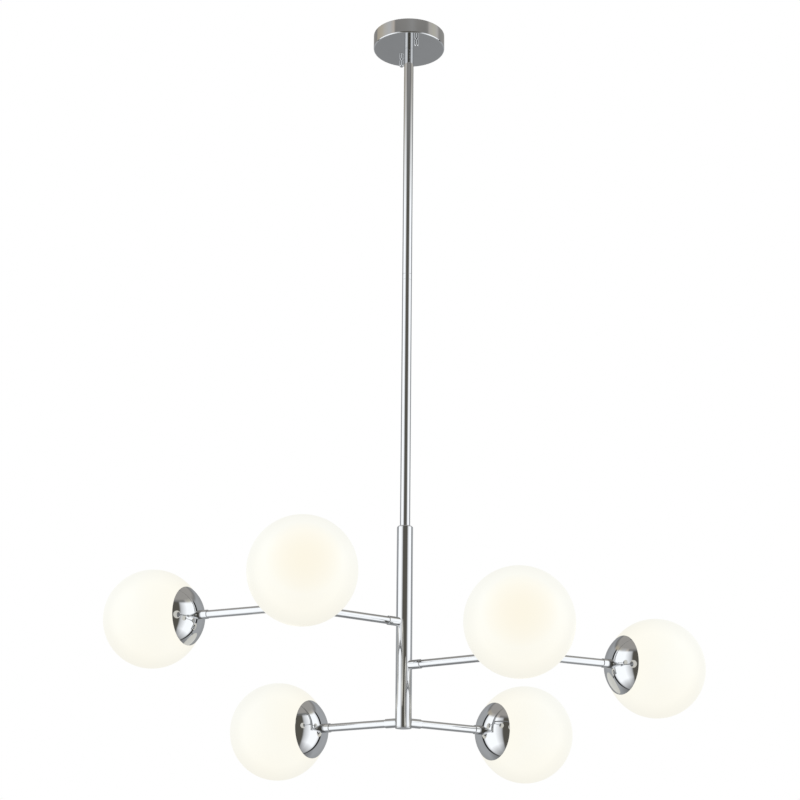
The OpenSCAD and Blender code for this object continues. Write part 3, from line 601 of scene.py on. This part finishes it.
class CHANDELIER_OT_cap_nuts(bpy.types.Operator):
    """Turn and knurl the two cap nuts below the canopy"""

    bl_idname = "chandelier.cap_nuts"
    bl_label = "Cap nuts"

    def execute(self, context):
        shapes = context.scene.lamp_shapes
        for side in ("front", "back"):
            node = "cap_nut_" + side
            low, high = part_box(node)
            centre = middle(node)
            axis_at = Vector((centre.x, centre.y, low.z))
            tall = high.z - low.z
            radius = radii(node, axis_at, UP)[1]
            bore = ring_radii(node, axis_at, UP, tall)[0]
            depth = shapes.knurl_depth
            outline = [(0.0, 0.0), (radius * NUT_TIP, 0.0), (radius - depth, tall * NUT_BEVEL)]
            outline += [(radius, tall * at) for at in NUT_KNURL]
            outline += [(radius - depth, tall * NUT_COLLAR), (radius - depth, tall)]
            outline += [(bore, tall), (bore, tall * NUT_FLOOR), (0.0, tall * NUT_FLOOR)]

            def knurled(r, height, turn, tall=tall, radius=radius, depth=depth):
                if r < radius - depth / 2:
                    return r
                if abs(height / tall - NUT_GROOVE) < NUT_GROOVE_HALF:
                    return radius - depth
                return radius - depth * (0.5 - 0.5 * math.cos(NUT_TEETH * turn))

            chrome_piece("cap_nut_turned_" + side, node, outline, Matrix.Translation(axis_at),
                         RIM_STEPS, "nut_" + side, knurled)
        return {"FINISHED"}


class CHANDELIER_OT_stem(bpy.types.Operator):
    """Draw the two rods and the coupling ring between them"""

    bl_idname = "chandelier.stem"
    bl_label = "Stem"

    def execute(self, context):
        shapes = context.scene.lamp_shapes
        root = Vector((0, 0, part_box("lower_rod")[0].z))
        bore, outer = radii("lower_rod", root, UP)
        for node in ("upper_rod", "lower_rod"):
            low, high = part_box(node)
            outline = tube_outline(outer, bore, low.z, high.z)
            chrome_piece(node + "_drawn", node, softened(outline, shapes.edge_round))
        low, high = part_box("rod_coupling")
        ring_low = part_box("lower_rod")[1].z
        ring_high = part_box("upper_rod")[0].z
        hole = radii("rod_coupling", Vector((0, 0, low.z)), UP)[0]
        outline = [
            (hole, low.z), (bore, low.z), (bore, ring_low), (outer, ring_low),
            (outer, ring_high), (bore, ring_high), (bore, high.z), (hole, high.z),
        ]
        chrome_piece("rod_coupling_turned", "rod_coupling", softened(outline, shapes.edge_round))
        return {"FINISHED"}


class CHANDELIER_OT_hub(bpy.types.Operator):
    """Turn the hub's bush, tube and foot"""

    bl_idname = "chandelier.hub"
    bl_label = "Hub"

    def execute(self, context):
        shapes = context.scene.lamp_shapes
        low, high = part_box("hub_tube")
        bore, outer = radii("hub_tube", Vector((0, 0, low.z)), UP)
        outline = softened(tube_outline(outer, bore, low.z, high.z), shapes.edge_round)
        chrome_piece("hub_tube_drawn", "hub_tube", outline, segments=DRUM_STEPS)

        bush_low, bush_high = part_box("hub_bush")
        rod_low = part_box("lower_rod")[0].z
        rod = radii("lower_rod", Vector((0, 0, rod_low)), UP)[1]
        hole = radii("hub_bush", Vector((0, 0, bush_low.z)), UP)[0]
        tip = ring_radii("hub_bush", Vector((0, 0, bush_low.z)), UP, bush_high.z - bush_low.z)[1]
        bevel = outer - tip
        outline = [
            (hole, bush_low.z), (bore, bush_low.z), (bore, high.z), (outer, high.z),
            (outer, bush_high.z - bevel), (tip, bush_high.z), (rod, bush_high.z),
            (rod, rod_low), (hole, rod_low),
        ]
        outline = softened(outline, shapes.edge_round)
        chrome_piece("hub_bush_turned", "hub_bush", outline, segments=DRUM_STEPS)

        foot_low, foot_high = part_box("hub_foot")
        well = ring_radii("hub_foot", Vector((0, 0, foot_low.z)), UP, foot_high.z - foot_low.z)[0]
        outline = [
            (0.0, foot_low.z), (outer, foot_low.z), (outer, low.z), (bore, low.z),
            (bore, foot_high.z), (well, foot_high.z), (well, low.z), (0.0, low.z),
        ]
        outline = softened(outline, 2 * shapes.edge_round, steps=5)
        chrome_piece("hub_foot_turned", "hub_foot", outline, segments=DRUM_STEPS)
        return {"FINISHED"}


def hub_arms():
    """(node, point on the hub's axis, direction) of the four tubes that leave the hub."""
    found = []
    for node in ("left_fork_arm", "right_fork_arm", "arm_low_left", "arm_low_right"):
        at = middle(node)
        found.append((node, Vector((0, 0, at.z)), Vector((at.x, at.y, 0)).normalized()))
    return found


def fork_arms(side):
    """(point on the fork's axis, direction) of the three tubes that meet in a fork drum."""
    centre = middle(side + "_fork_drum")
    found = [(centre, -Vector((centre.x, centre.y, 0)).normalized())]
    for lamp in ("outer_" + side, "front_" + side):
        found.append((centre, -lamp_line(lamp)[1]))
    return found


class CHANDELIER_OT_arms(bpy.types.Operator):
    """Draw the arm tubes between the ferrules"""

    bl_idname = "chandelier.arms"
    bl_label = "Arms"

    def execute(self, context):
        shapes = context.scene.lamp_shapes
        lines = hub_arms()
        for lamp in LAMPS[:4]:
            centre, back = lamp_line(lamp)
            lines.append(("arm_" + lamp, centre, back))
        for node, at, way in lines:
            start, end = span(node, at, way)
            bore, outer = radii(node, at, way)
            outline = softened(tube_outline(outer, bore, start, end), shapes.edge_round)
            chrome_piece(node + "_drawn", node, outline, place_on(at, way))
        return {"FINISHED"}


def ferrule_outline(node, at, way, thick, reach, seat, bore, start, round_r):
    """A ferrule's outline from its start to its open end, with the seat that holds the tube."""
    within = thick * 1.05
    end = span(node, at, way, within, reach)[1]
    inner = radii(node, at, way, within, reach)[0]
    outline = [(inner, start), (thick, start), (thick, end), (bore, end), (bore, seat), (inner, seat)]
    return softened(outline, round_r)


class CHANDELIER_OT_ferrules(bpy.types.Operator):
    """Turn the ferrules on the hub, on the forks and on the cups"""

    bl_idname = "chandelier.ferrules"
    bl_label = "Ferrules"

    def execute(self, context):
        shapes = context.scene.lamp_shapes
        round_r = shapes.edge_round * 1.3
        arm_r = radii(*hub_arms()[0])[1]
        thick = radii("cup_ferrules", *lamp_line(LAMPS[0]), NEAR_LINE, GLOBE_REACH)[1]
        hub_low, hub_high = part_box("hub_tube")
        hub_r = (hub_high.x - hub_low.x) / 2
        saddles = [(at, way, hub_r, span(node, at, way)[0]) for node, at, way in hub_arms()]
        hub_seat = saddles[-1][-1]
        for side in FORKS:
            drum_low, drum_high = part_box(side + "_fork_drum")
            drum_r = (drum_high.x - drum_low.x) / 2
            # The arms stand as deep in a drum's ferrules as in the hub's.
            saddles += [(at, way, drum_r, drum_r + hub_seat - hub_r) for at, way in fork_arms(side)]
        bm = bmesh.new()
        for at, way, wall_r, seat in saddles:
            outline = ferrule_outline(
                "saddle_ferrules", at, way, thick, HUB_REACH, seat, arm_r, wall_r, round_r
            )
            turn_outline(bm, outline, place_on(at, way), saddle=wall_r, saddle_below=wall_r + 1.5 * round_r)
        finish_piece("saddle_ferrules_turned", bm, chrome(), "root", ["saddle_ferrules"])

        bm = bmesh.new()
        for lamp in LAMPS:
            centre, back = lamp_line(lamp)
            start = span("cup_ferrules", centre, back, NEAR_LINE, GLOBE_REACH)[0]
            seat = span("arm_" + lamp, centre, back)[0]
            outline = ferrule_outline(
                "cup_ferrules", centre, back, thick, GLOBE_REACH, seat, arm_r, start, round_r
            )
            turn_outline(bm, outline, place_on(centre, back))
        finish_piece("cup_ferrules_turned", bm, chrome(), "root", ["cup_ferrules"])
        return {"FINISHED"}


class CHANDELIER_OT_forks(bpy.types.Operator):
    """Turn the two drums in which the upper arms fork"""

    bl_idname = "chandelier.forks"
    bl_label = "Forks"

    def execute(self, context):
        shapes = context.scene.lamp_shapes
        for side in FORKS:
            node = side + "_fork_drum"
            low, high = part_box(node)
            radius = (high.x - low.x) / 2
            half = (high.z - low.z) / 2
            bevel = radius - ring_radii(node, Vector((*middle(node)[:2], low.z)), UP, 0.0)[1]
            outline = [
                (0.0, -half), (radius - bevel, -half), (radius, -half + bevel),
                (radius, half - bevel), (radius - bevel, half), (0.0, half),
            ]
            outline = softened(outline, shapes.edge_round)
            chrome_piece(node + "_turned", node, outline, Matrix.Translation(middle(node)), DRUM_STEPS)
        return {"FINISHED"}


class CHANDELIER_OT_cups(bpy.types.Operator):
    """Spin the six domed cups that hold the globes"""

    bl_idname = "chandelier.cups"
    bl_label = "Cups"

    def execute(self, context):
        shapes = context.scene.lamp_shapes
        for lamp in LAMPS:
            node = "cup_" + lamp
            centre, back = lamp_line(lamp)
            rim_t, top_t = span(node, centre, back)
            rim_r = ring_radii(node, centre, back, rim_t)[1]
            hole, flat_r = ring_radii(node, centre, back, top_t)
            below = (rim_r**2 - flat_r**2 - (top_t - rim_t) ** 2) / (2 * (top_t - rim_t))
            dome_t = rim_t - below
            dome_r = math.hypot(rim_r, below)
            inside_r = dome_r - shapes.sheet
            seat_t = max(t for t, _ in measured(node, centre, back) if t < top_t - shapes.sheet / 2)
            outer = arc(dome_r, dome_t, rim_t, top_t, steps=48)
            inner = arc(inside_r, dome_t, seat_t, rim_t, steps=40)
            outline = softened(outer + [(hole, top_t), (hole, seat_t)] + inner, shapes.rim_round, steps=4)
            chrome_piece(node + "_spun", node, outline, place_on(centre, back), RIM_STEPS)
        return {"FINISHED"}


class CHANDELIER_OT_globes(bpy.types.Operator):
    """Blow the six opal globes with their threaded necks"""

    bl_idname = "chandelier.globes"
    bl_label = "Globes"

    def execute(self, context):
        shapes = context.scene.lamp_shapes
        for lamp in LAMPS:
            node = "globe_" + lamp
            centre, back = lamp_line(lamp)
            neck_t = span(node, centre, back)[1]
            globe_r = max((corner - centre).length for corner in corners(node)
                          if (corner - centre).dot(back) < 0)
            bore, neck_r = ring_radii(node, centre, back, neck_t)
            inside_r = globe_r - shapes.glass_wall
            shoulder = math.sqrt(globe_r**2 - neck_r**2)
            throat = math.sqrt(inside_r**2 - bore**2)
            lift = neck_t - shoulder
            steps = 13
            outline = [(0.0, -globe_r)] + arc(globe_r, 0.0, -globe_r, shoulder, steps=96)[1:]
            outline += [(neck_r, shoulder + lift * step / steps) for step in range(1, steps)]
            outline += [(neck_r, neck_t), (bore, neck_t)]
            outline += arc(inside_r, 0.0, throat, -inside_r, steps=64)[:-1] + [(0.0, -inside_r)]

            def threaded(r, height, turn, neck_r=neck_r, shoulder=shoulder, lift=lift):
                if abs(r - neck_r) > 1e-6 or height < shoulder + 1e-6:
                    return r
                climb = (height - shoulder) / lift - turn / (2 * math.pi)
                return r - shapes.thread_depth * (0.5 + 0.5 * math.cos(2 * math.pi * climb))

            bm = bmesh.new()
            place = place_on(centre, back)
            turn_outline(bm, outline, place, GLOBE_STEPS, wave=threaded)
            finish_piece(node + "_blown", bm, opal(), "glass_" + lamp, [node], place)
        return {"FINISHED"}


class CHANDELIER_OT_inner_works(bpy.types.Operator):
    """Give the pieces inside the canopy, hub and cups their finishes"""

    bl_idname = "chandelier.inner_works"
    bl_label = "Inner works"

    def execute(self, context):
        zinc = metal("Zinc plate", (0.62, 0.63, 0.65), (0.48, 0.49, 0.52), (0.28, 0.45),
                     smudge_scale=90, line_scale=1400, bump=0.2)
        brass = metal("Turned brass", (0.80, 0.62, 0.30), (0.62, 0.45, 0.20), (0.18, 0.34),
                      smudge_scale=70, line_scale=1800, bump=0.15)
        plastic = moulded("White plastic", (0.90, 0.89, 0.86), (0.82, 0.81, 0.77), (0.35, 0.5))
        fired = moulded("Fired steatite", (0.93, 0.92, 0.88), (0.85, 0.83, 0.78), (0.5, 0.7), bump=0.25)
        rubber = moulded("Silicone ring", (0.82, 0.82, 0.80), (0.72, 0.72, 0.70), (0.4, 0.6), bump=0.05)
        lead = moulded("Lead sheath", (0.80, 0.81, 0.82), (0.70, 0.71, 0.72), (0.4, 0.55))
        earth = moulded("Earth sheath", (0.42, 0.60, 0.08), (0.75, 0.68, 0.06), (0.4, 0.55))
        lit = moulded("Lit capsule", (1.0, 0.93, 0.78), (1.0, 0.86, 0.62), (0.3, 0.4), bump=0.05, glow=1.0)
        finishes = {
            zinc: ["ceiling_strap", "canopy_studs", "stem_lock_nut", "arm_nuts"],
            brass: ["terminal_screws", "stem_nipple", "earth_tag", "arm_nipples", "cup_nipples"],
            plastic: ["terminal_block", "screw_seats"],
            fired: ["lampholders"],
            rubber: ["gasket_" + lamp for lamp in LAMPS],
            lead: ["wiring"],
            earth: ["earth_lead"],
            lit: ["bulb_" + lamp for lamp in LAMPS],
        }
        for material, nodes in finishes.items():
            for node in nodes:
                mesh = frame["nodes"][node].data
                mesh.materials.clear()
                mesh.materials.append(material)
        return {"FINISHED"}


def grey(tone, warmth=0.0):
    """A neutral tone, warmer or cooler by warmth."""
    return (tone * (1 + warmth), tone, tone * (1 - warmth))


def tone_ramp(tree, factor, stops, low, high):
    """The colour at the factor's place among (place, colour) stops that lie between low and high."""
    ramp = add(tree, "ShaderNodeValToRGB")
    tree.links.new(mapped(tree, factor, low, high, 0.0, 1.0), ramp.inputs["Fac"])
    elements = ramp.color_ramp.elements
    while len(elements) < len(stops):
        elements.new(0.5)
    for element, (place, tone) in zip(elements, stops):
        element.position = (place - low) / (high - low)
        element.color = (*tone, 1.0)
    return ramp.outputs["Color"]


def side_stops(panel, flag_tone, flag, rail, drape, back):
    """Stops round one level of the studio, from behind the lamp round each side to its front:
    the back, a drape, a thin dark rail, a light panel that dims towards the front, and the flag.
    flag and rail give an edge on the left (-1) and on the right (1), in degrees from the front."""
    softer, softest = (tuple(part * share for part in panel) for share in (0.72, 0.5))
    dark = grey(0.03)
    stops = [(-180.0, back)]
    for side in (-1, 1):
        edges = [
            (140.0, drape), (rail[side] + 6.0, drape), (rail[side] + 4.0, dark),
            (rail[side] - 3.0, dark), (rail[side] - 5.0, softer), (rail[side] - 14.0, panel),
            (flag[side] + 26.0, panel), (flag[side] + 12.0, softer),
            (flag[side] + 3.0, softest), (flag[side] - 3.0, flag_tone),
        ]
        if side > 0:
            edges.reverse()
        stops += [(side * place, tone) for place, tone in edges]
    return stops + [(180.0, back)]


def studio_tones_group(name, studio):
    """The tone that the studio shows in each direction round the lamp, by azimuth and by height."""
    group = node_group(name, (), (("Tone", "NodeSocketColor"),))
    leave = add(group, "NodeGroupOutput")
    where = add(group, "ShaderNodeNewGeometry")
    split = add(group, "ShaderNodeSeparateXYZ")
    group.links.new(where.outputs["Position"], split.inputs[0])
    front = worked_out(group, "MULTIPLY", split.outputs["Y"], -1.0)
    turn = worked_out(group, "ARCTAN2", split.outputs["X"], front)
    azimuth = worked_out(group, "DEGREES", turn)
    panel = tuple(part * studio.panel_light for part in (0.96, 0.98, 1.0))
    low = tone_ramp(group, azimuth, side_stops(
        panel=panel,
        flag_tone=tuple(studio.flag_tone),
        flag={-1: 30.0, 1: 37.0},
        rail={-1: 110.0, 1: 108.0},
        drape=grey(0.58, -0.03),
        back=grey(0.38, -0.02),
    ), -180.0, 180.0)
    middle_tones = tone_ramp(group, azimuth, [
        (-180.0, grey(0.20)), (-132.0, grey(0.20)), (-124.0, (0.66, 0.57, 0.42)),
        (-100.0, (0.82, 0.74, 0.58)), (-88.0, (0.86, 0.83, 0.76)), (-68.0, grey(0.88, -0.03)),
        (-52.0, (0.90, 0.80, 0.70)), (-46.0, grey(0.19)), (-12.0, grey(0.24)),
        (8.0, grey(0.33, -0.03)), (26.0, grey(0.22)), (52.0, grey(0.18)), (60.0, grey(0.24)),
        (68.0, grey(0.72, 0.05)), (86.0, (0.86, 0.84, 0.70)), (102.0, grey(0.80, 0.03)),
        (114.0, grey(0.30)), (180.0, grey(0.22)),
    ], -180.0, 180.0)
    rise = mapped(group, split.outputs["Z"], *studio.panel_fade, 0.0, 1.0)
    sides = mixed(group, rise, low, middle_tones)
    top = mapped(group, split.outputs["Z"], *studio.upper_fade, 0.0, 1.0)
    group.links.new(mixed(group, top, sides, studio.ceiling_tone), leave.inputs["Tone"])
    return group


def hide_from(thing, *rays):
    """Takes the thing out of what these rays see."""
    for ray in rays:
        setattr(thing, "visible_" + ray, False)


def studio_card(name, profile, material, steps=96):
    """A card that is turned round the stem, which the plate mirrors and the camera doesn't see."""
    bm = bmesh.new()
    rings = []
    for radius, z in profile:
        ring = []
        for step in range(steps):
            turn = 2 * math.pi * step / steps
            ring.append(bm.verts.new((radius * math.sin(turn), -radius * math.cos(turn), z)))
        rings.append(ring)
    for inner, outer in zip(rings, rings[1:]):
        for step in range(steps):
            after = (step + 1) % steps
            bm.faces.new((inner[step], inner[after], outer[after], outer[step]))
    mesh = bpy.data.meshes.new(name)
    bm.to_mesh(mesh)
    bm.free()
    card = bpy.data.objects.new(name, mesh)
    bpy.context.scene.collection.objects.link(card)
    card.data.materials.append(material)
    hide_from(card, "camera", "diffuse", "shadow", "transmission")
    return card


def card_material(name):
    """An emitting material, its tree and its emission node."""
    material = bpy.data.materials.new(name)
    material.use_nodes = True
    tree = material.node_tree
    tree.nodes.clear()
    glow = add(tree, "ShaderNodeEmission")
    leave = add(tree, "ShaderNodeOutputMaterial")
    tree.links.new(glow.outputs[0], leave.inputs["Surface"])
    return material, tree, glow


class CHANDELIER_OT_stage(bpy.types.Operator):
    """Set up the camera, the pale floor, the white background and the light panels"""

    bl_idname = "chandelier.stage"
    bl_label = "Stage"

    def execute(self, context):
        studio = context.scene.lamp_studio
        self.make_camera(context.scene, studio)
        self.make_world(context.scene, studio)
        self.make_floor(studio)
        self.make_cards(studio)
        self.make_lights(context.scene, studio)
        context.scene.view_settings.view_transform = "Standard"
        return {"FINISHED"}

    def make_camera(self, scene, studio):
        """The photo's camera, from its place, its tilt, its turn and its lean."""
        pitch, yaw, roll = studio.camera_pitch, studio.camera_yaw, studio.camera_roll
        ahead = Vector((math.sin(yaw) * math.cos(pitch), math.cos(yaw) * math.cos(pitch), math.sin(pitch)))
        level = Vector((math.cos(yaw), -math.sin(yaw), 0.0))
        over = level.cross(ahead)
        right = level * math.cos(roll) + over * math.sin(roll)
        top = over * math.cos(roll) - level * math.sin(roll)
        data = bpy.data.cameras.new("Camera")
        data.lens = studio.lens
        data.sensor_width = 36.0
        data.clip_start, data.clip_end = 0.05, 200.0
        camera = bpy.data.objects.new("Camera", data)
        turn = Matrix((right, top, -ahead)).transposed().to_4x4()
        camera.matrix_world = Matrix.Translation(studio.camera_at) @ turn
        scene.collection.objects.link(camera)
        scene.camera = camera

    def make_world(self, scene, studio):
        """White to the camera and in mirrors and glass, and a weaker fill for everything else."""
        world = bpy.data.worlds.new("Studio")
        scene.world = world
        world.use_nodes = True
        tree = world.node_tree
        tree.nodes.clear()
        path = add(tree, "ShaderNodeLightPath")
        seen = path.outputs["Is Camera Ray"]
        for kind in ("Is Glossy Ray", "Is Transmission Ray"):
            seen = worked_out(tree, "MAXIMUM", seen, path.outputs[kind])
        sky = add(tree, "ShaderNodeBackground")
        sky.inputs["Color"].default_value = (1.0, 1.0, 1.0, 1.0)
        tree.links.new(mapped(tree, seen, 0.0, 1.0, studio.fill, 1.0), sky.inputs["Strength"])
        leave = add(tree, "ShaderNodeOutputWorld")
        tree.links.new(sky.outputs[0], leave.inputs["Surface"])

    def make_floor(self, studio):
        """A wide pale floor under the lamp."""
        bm = bmesh.new()
        bmesh.ops.create_grid(bm, x_segments=8, y_segments=8, size=40.0)
        mesh = bpy.data.meshes.new("floor")
        bm.to_mesh(mesh)
        bm.free()
        floor = bpy.data.objects.new("floor", mesh)
        floor.location.z = -studio.floor_level
        bpy.context.scene.collection.objects.link(floor)
        light = tuple(studio.floor_colour)
        dark = tuple(0.97 * part for part in light)
        paint = moulded("Floor", light, dark, roughness=(0.7, 0.9), bump=0.02, grain_scale=60.0)
        floor.data.materials.append(paint)

    def make_cards(self, studio):
        """The studio that the plate mirrors: its walls, the sweep of the floor and the ceiling."""
        clear = 0.01  # the sweep lies this far above the floor, and starts this far from the axis
        away, base, top = studio.panel_distance, clear - studio.floor_level, studio.wall_top
        walls, tree, glow = card_material("Studio walls")
        tones = placed(tree, "Studio tones", studio_tones_group, studio)
        tree.links.new(tones.outputs["Tone"], glow.inputs["Color"])
        studio_card("studio_walls", [(away, base), (away, top)], walls)

        sweep, tree, glow = card_material("Studio sweep")
        tones = placed(tree, "Studio tones", studio_tones_group, studio)
        where = add(tree, "ShaderNodeNewGeometry")
        flat = add(tree, "ShaderNodeVectorMath", operation="MULTIPLY")
        flat.inputs[1].default_value = (1.0, 1.0, 0.0)
        tree.links.new(where.outputs["Position"], flat.inputs[0])
        radius = add(tree, "ShaderNodeVectorMath", operation="LENGTH")
        tree.links.new(flat.outputs[0], radius.inputs[0])
        near = mapped(tree, radius.outputs["Value"], 0.3, 2.2, 0.0, 1.0)
        shade = mixed(tree, near, grey(0.20), tones.outputs["Tone"])
        tree.links.new(shade, glow.inputs["Color"])
        studio_card("studio_sweep", [(clear, base), (away, base)], sweep)

        ceiling, _, glow = card_material("Studio ceiling")
        glow.inputs["Color"].default_value = (*studio.ceiling_tone, 1.0)
        studio_card("studio_ceiling", [(0.3, top), (away, top)], ceiling)

    def make_lights(self, scene, studio):
        """Two soft panels that light the glass, the nuts and the floor."""
        aim = Vector((0, 0, -0.9))
        for name, azimuth in (("panel_left", -72.0), ("panel_right", 75.0)):
            data = bpy.data.lights.new("panel", "AREA")
            data.shape = "RECTANGLE"
            data.size, data.size_y = studio.panel_size
            data.energy = studio.panel_power
            lamp = bpy.data.objects.new(name, data)
            turn = math.radians(azimuth)
            spot = Vector((math.sin(turn), -math.cos(turn), 0.0)) * studio.light_distance
            spot.z = studio.light_height
            facing = (aim - spot).to_track_quat("-Z", "Y").to_matrix().to_4x4()
            lamp.matrix_world = Matrix.Translation(spot) @ facing
            hide_from(lamp, "glossy", "camera", "transmission")
            scene.collection.objects.link(lamp)


class CHANDELIER_PT_panel(bpy.types.Panel):
    """Lists the chandelier's pieces and settings"""

    bl_idname = "CHANDELIER_PT_panel"
    bl_label = "Branch chandelier"
    bl_space_type = "VIEW_3D"
    bl_region_type = "UI"
    bl_category = "Chandelier"

    def draw(self, context):
        for operator in OPERATORS:
            self.layout.operator(operator.bl_idname)
        for group in SETTINGS:
            box = self.layout.box()
            settings = getattr(context.scene, group)
            for name in SETTINGS[group].__annotations__:
                box.prop(settings, name)


SETTINGS = {"lamp_finishes": LampFinishes, "lamp_shapes": LampShapes, "lamp_studio": LampStudio}
OPERATORS = (
    CHANDELIER_OT_stage,
    CHANDELIER_OT_canopy,
    CHANDELIER_OT_cap_nuts,
    CHANDELIER_OT_stem,
    CHANDELIER_OT_hub,
    CHANDELIER_OT_arms,
    CHANDELIER_OT_ferrules,
    CHANDELIER_OT_forks,
    CHANDELIER_OT_cups,
    CHANDELIER_OT_globes,
    CHANDELIER_OT_inner_works,
)
CLASSES = (*SETTINGS.values(), *OPERATORS, CHANDELIER_PT_panel)


def register():
    for cls in CLASSES:
        bpy.utils.register_class(cls)
    for name, group in SETTINGS.items():
        setattr(bpy.types.Scene, name, bpy.props.PointerProperty(type=group))


def unregister():
    for name in SETTINGS:
        delattr(bpy.types.Scene, name)
    for cls in reversed(CLASSES):
        bpy.utils.unregister_class(cls)


def main():
    """Dresses the lamp piece by piece."""
    register()
    for operator in OPERATORS:
        family, action = operator.bl_idname.split(".")
        done = getattr(getattr(bpy.ops, family), action)()
        if done != {"FINISHED"}:
            raise RuntimeError(operator.bl_idname + " did not finish")


if __name__ == "__main__":
    main()
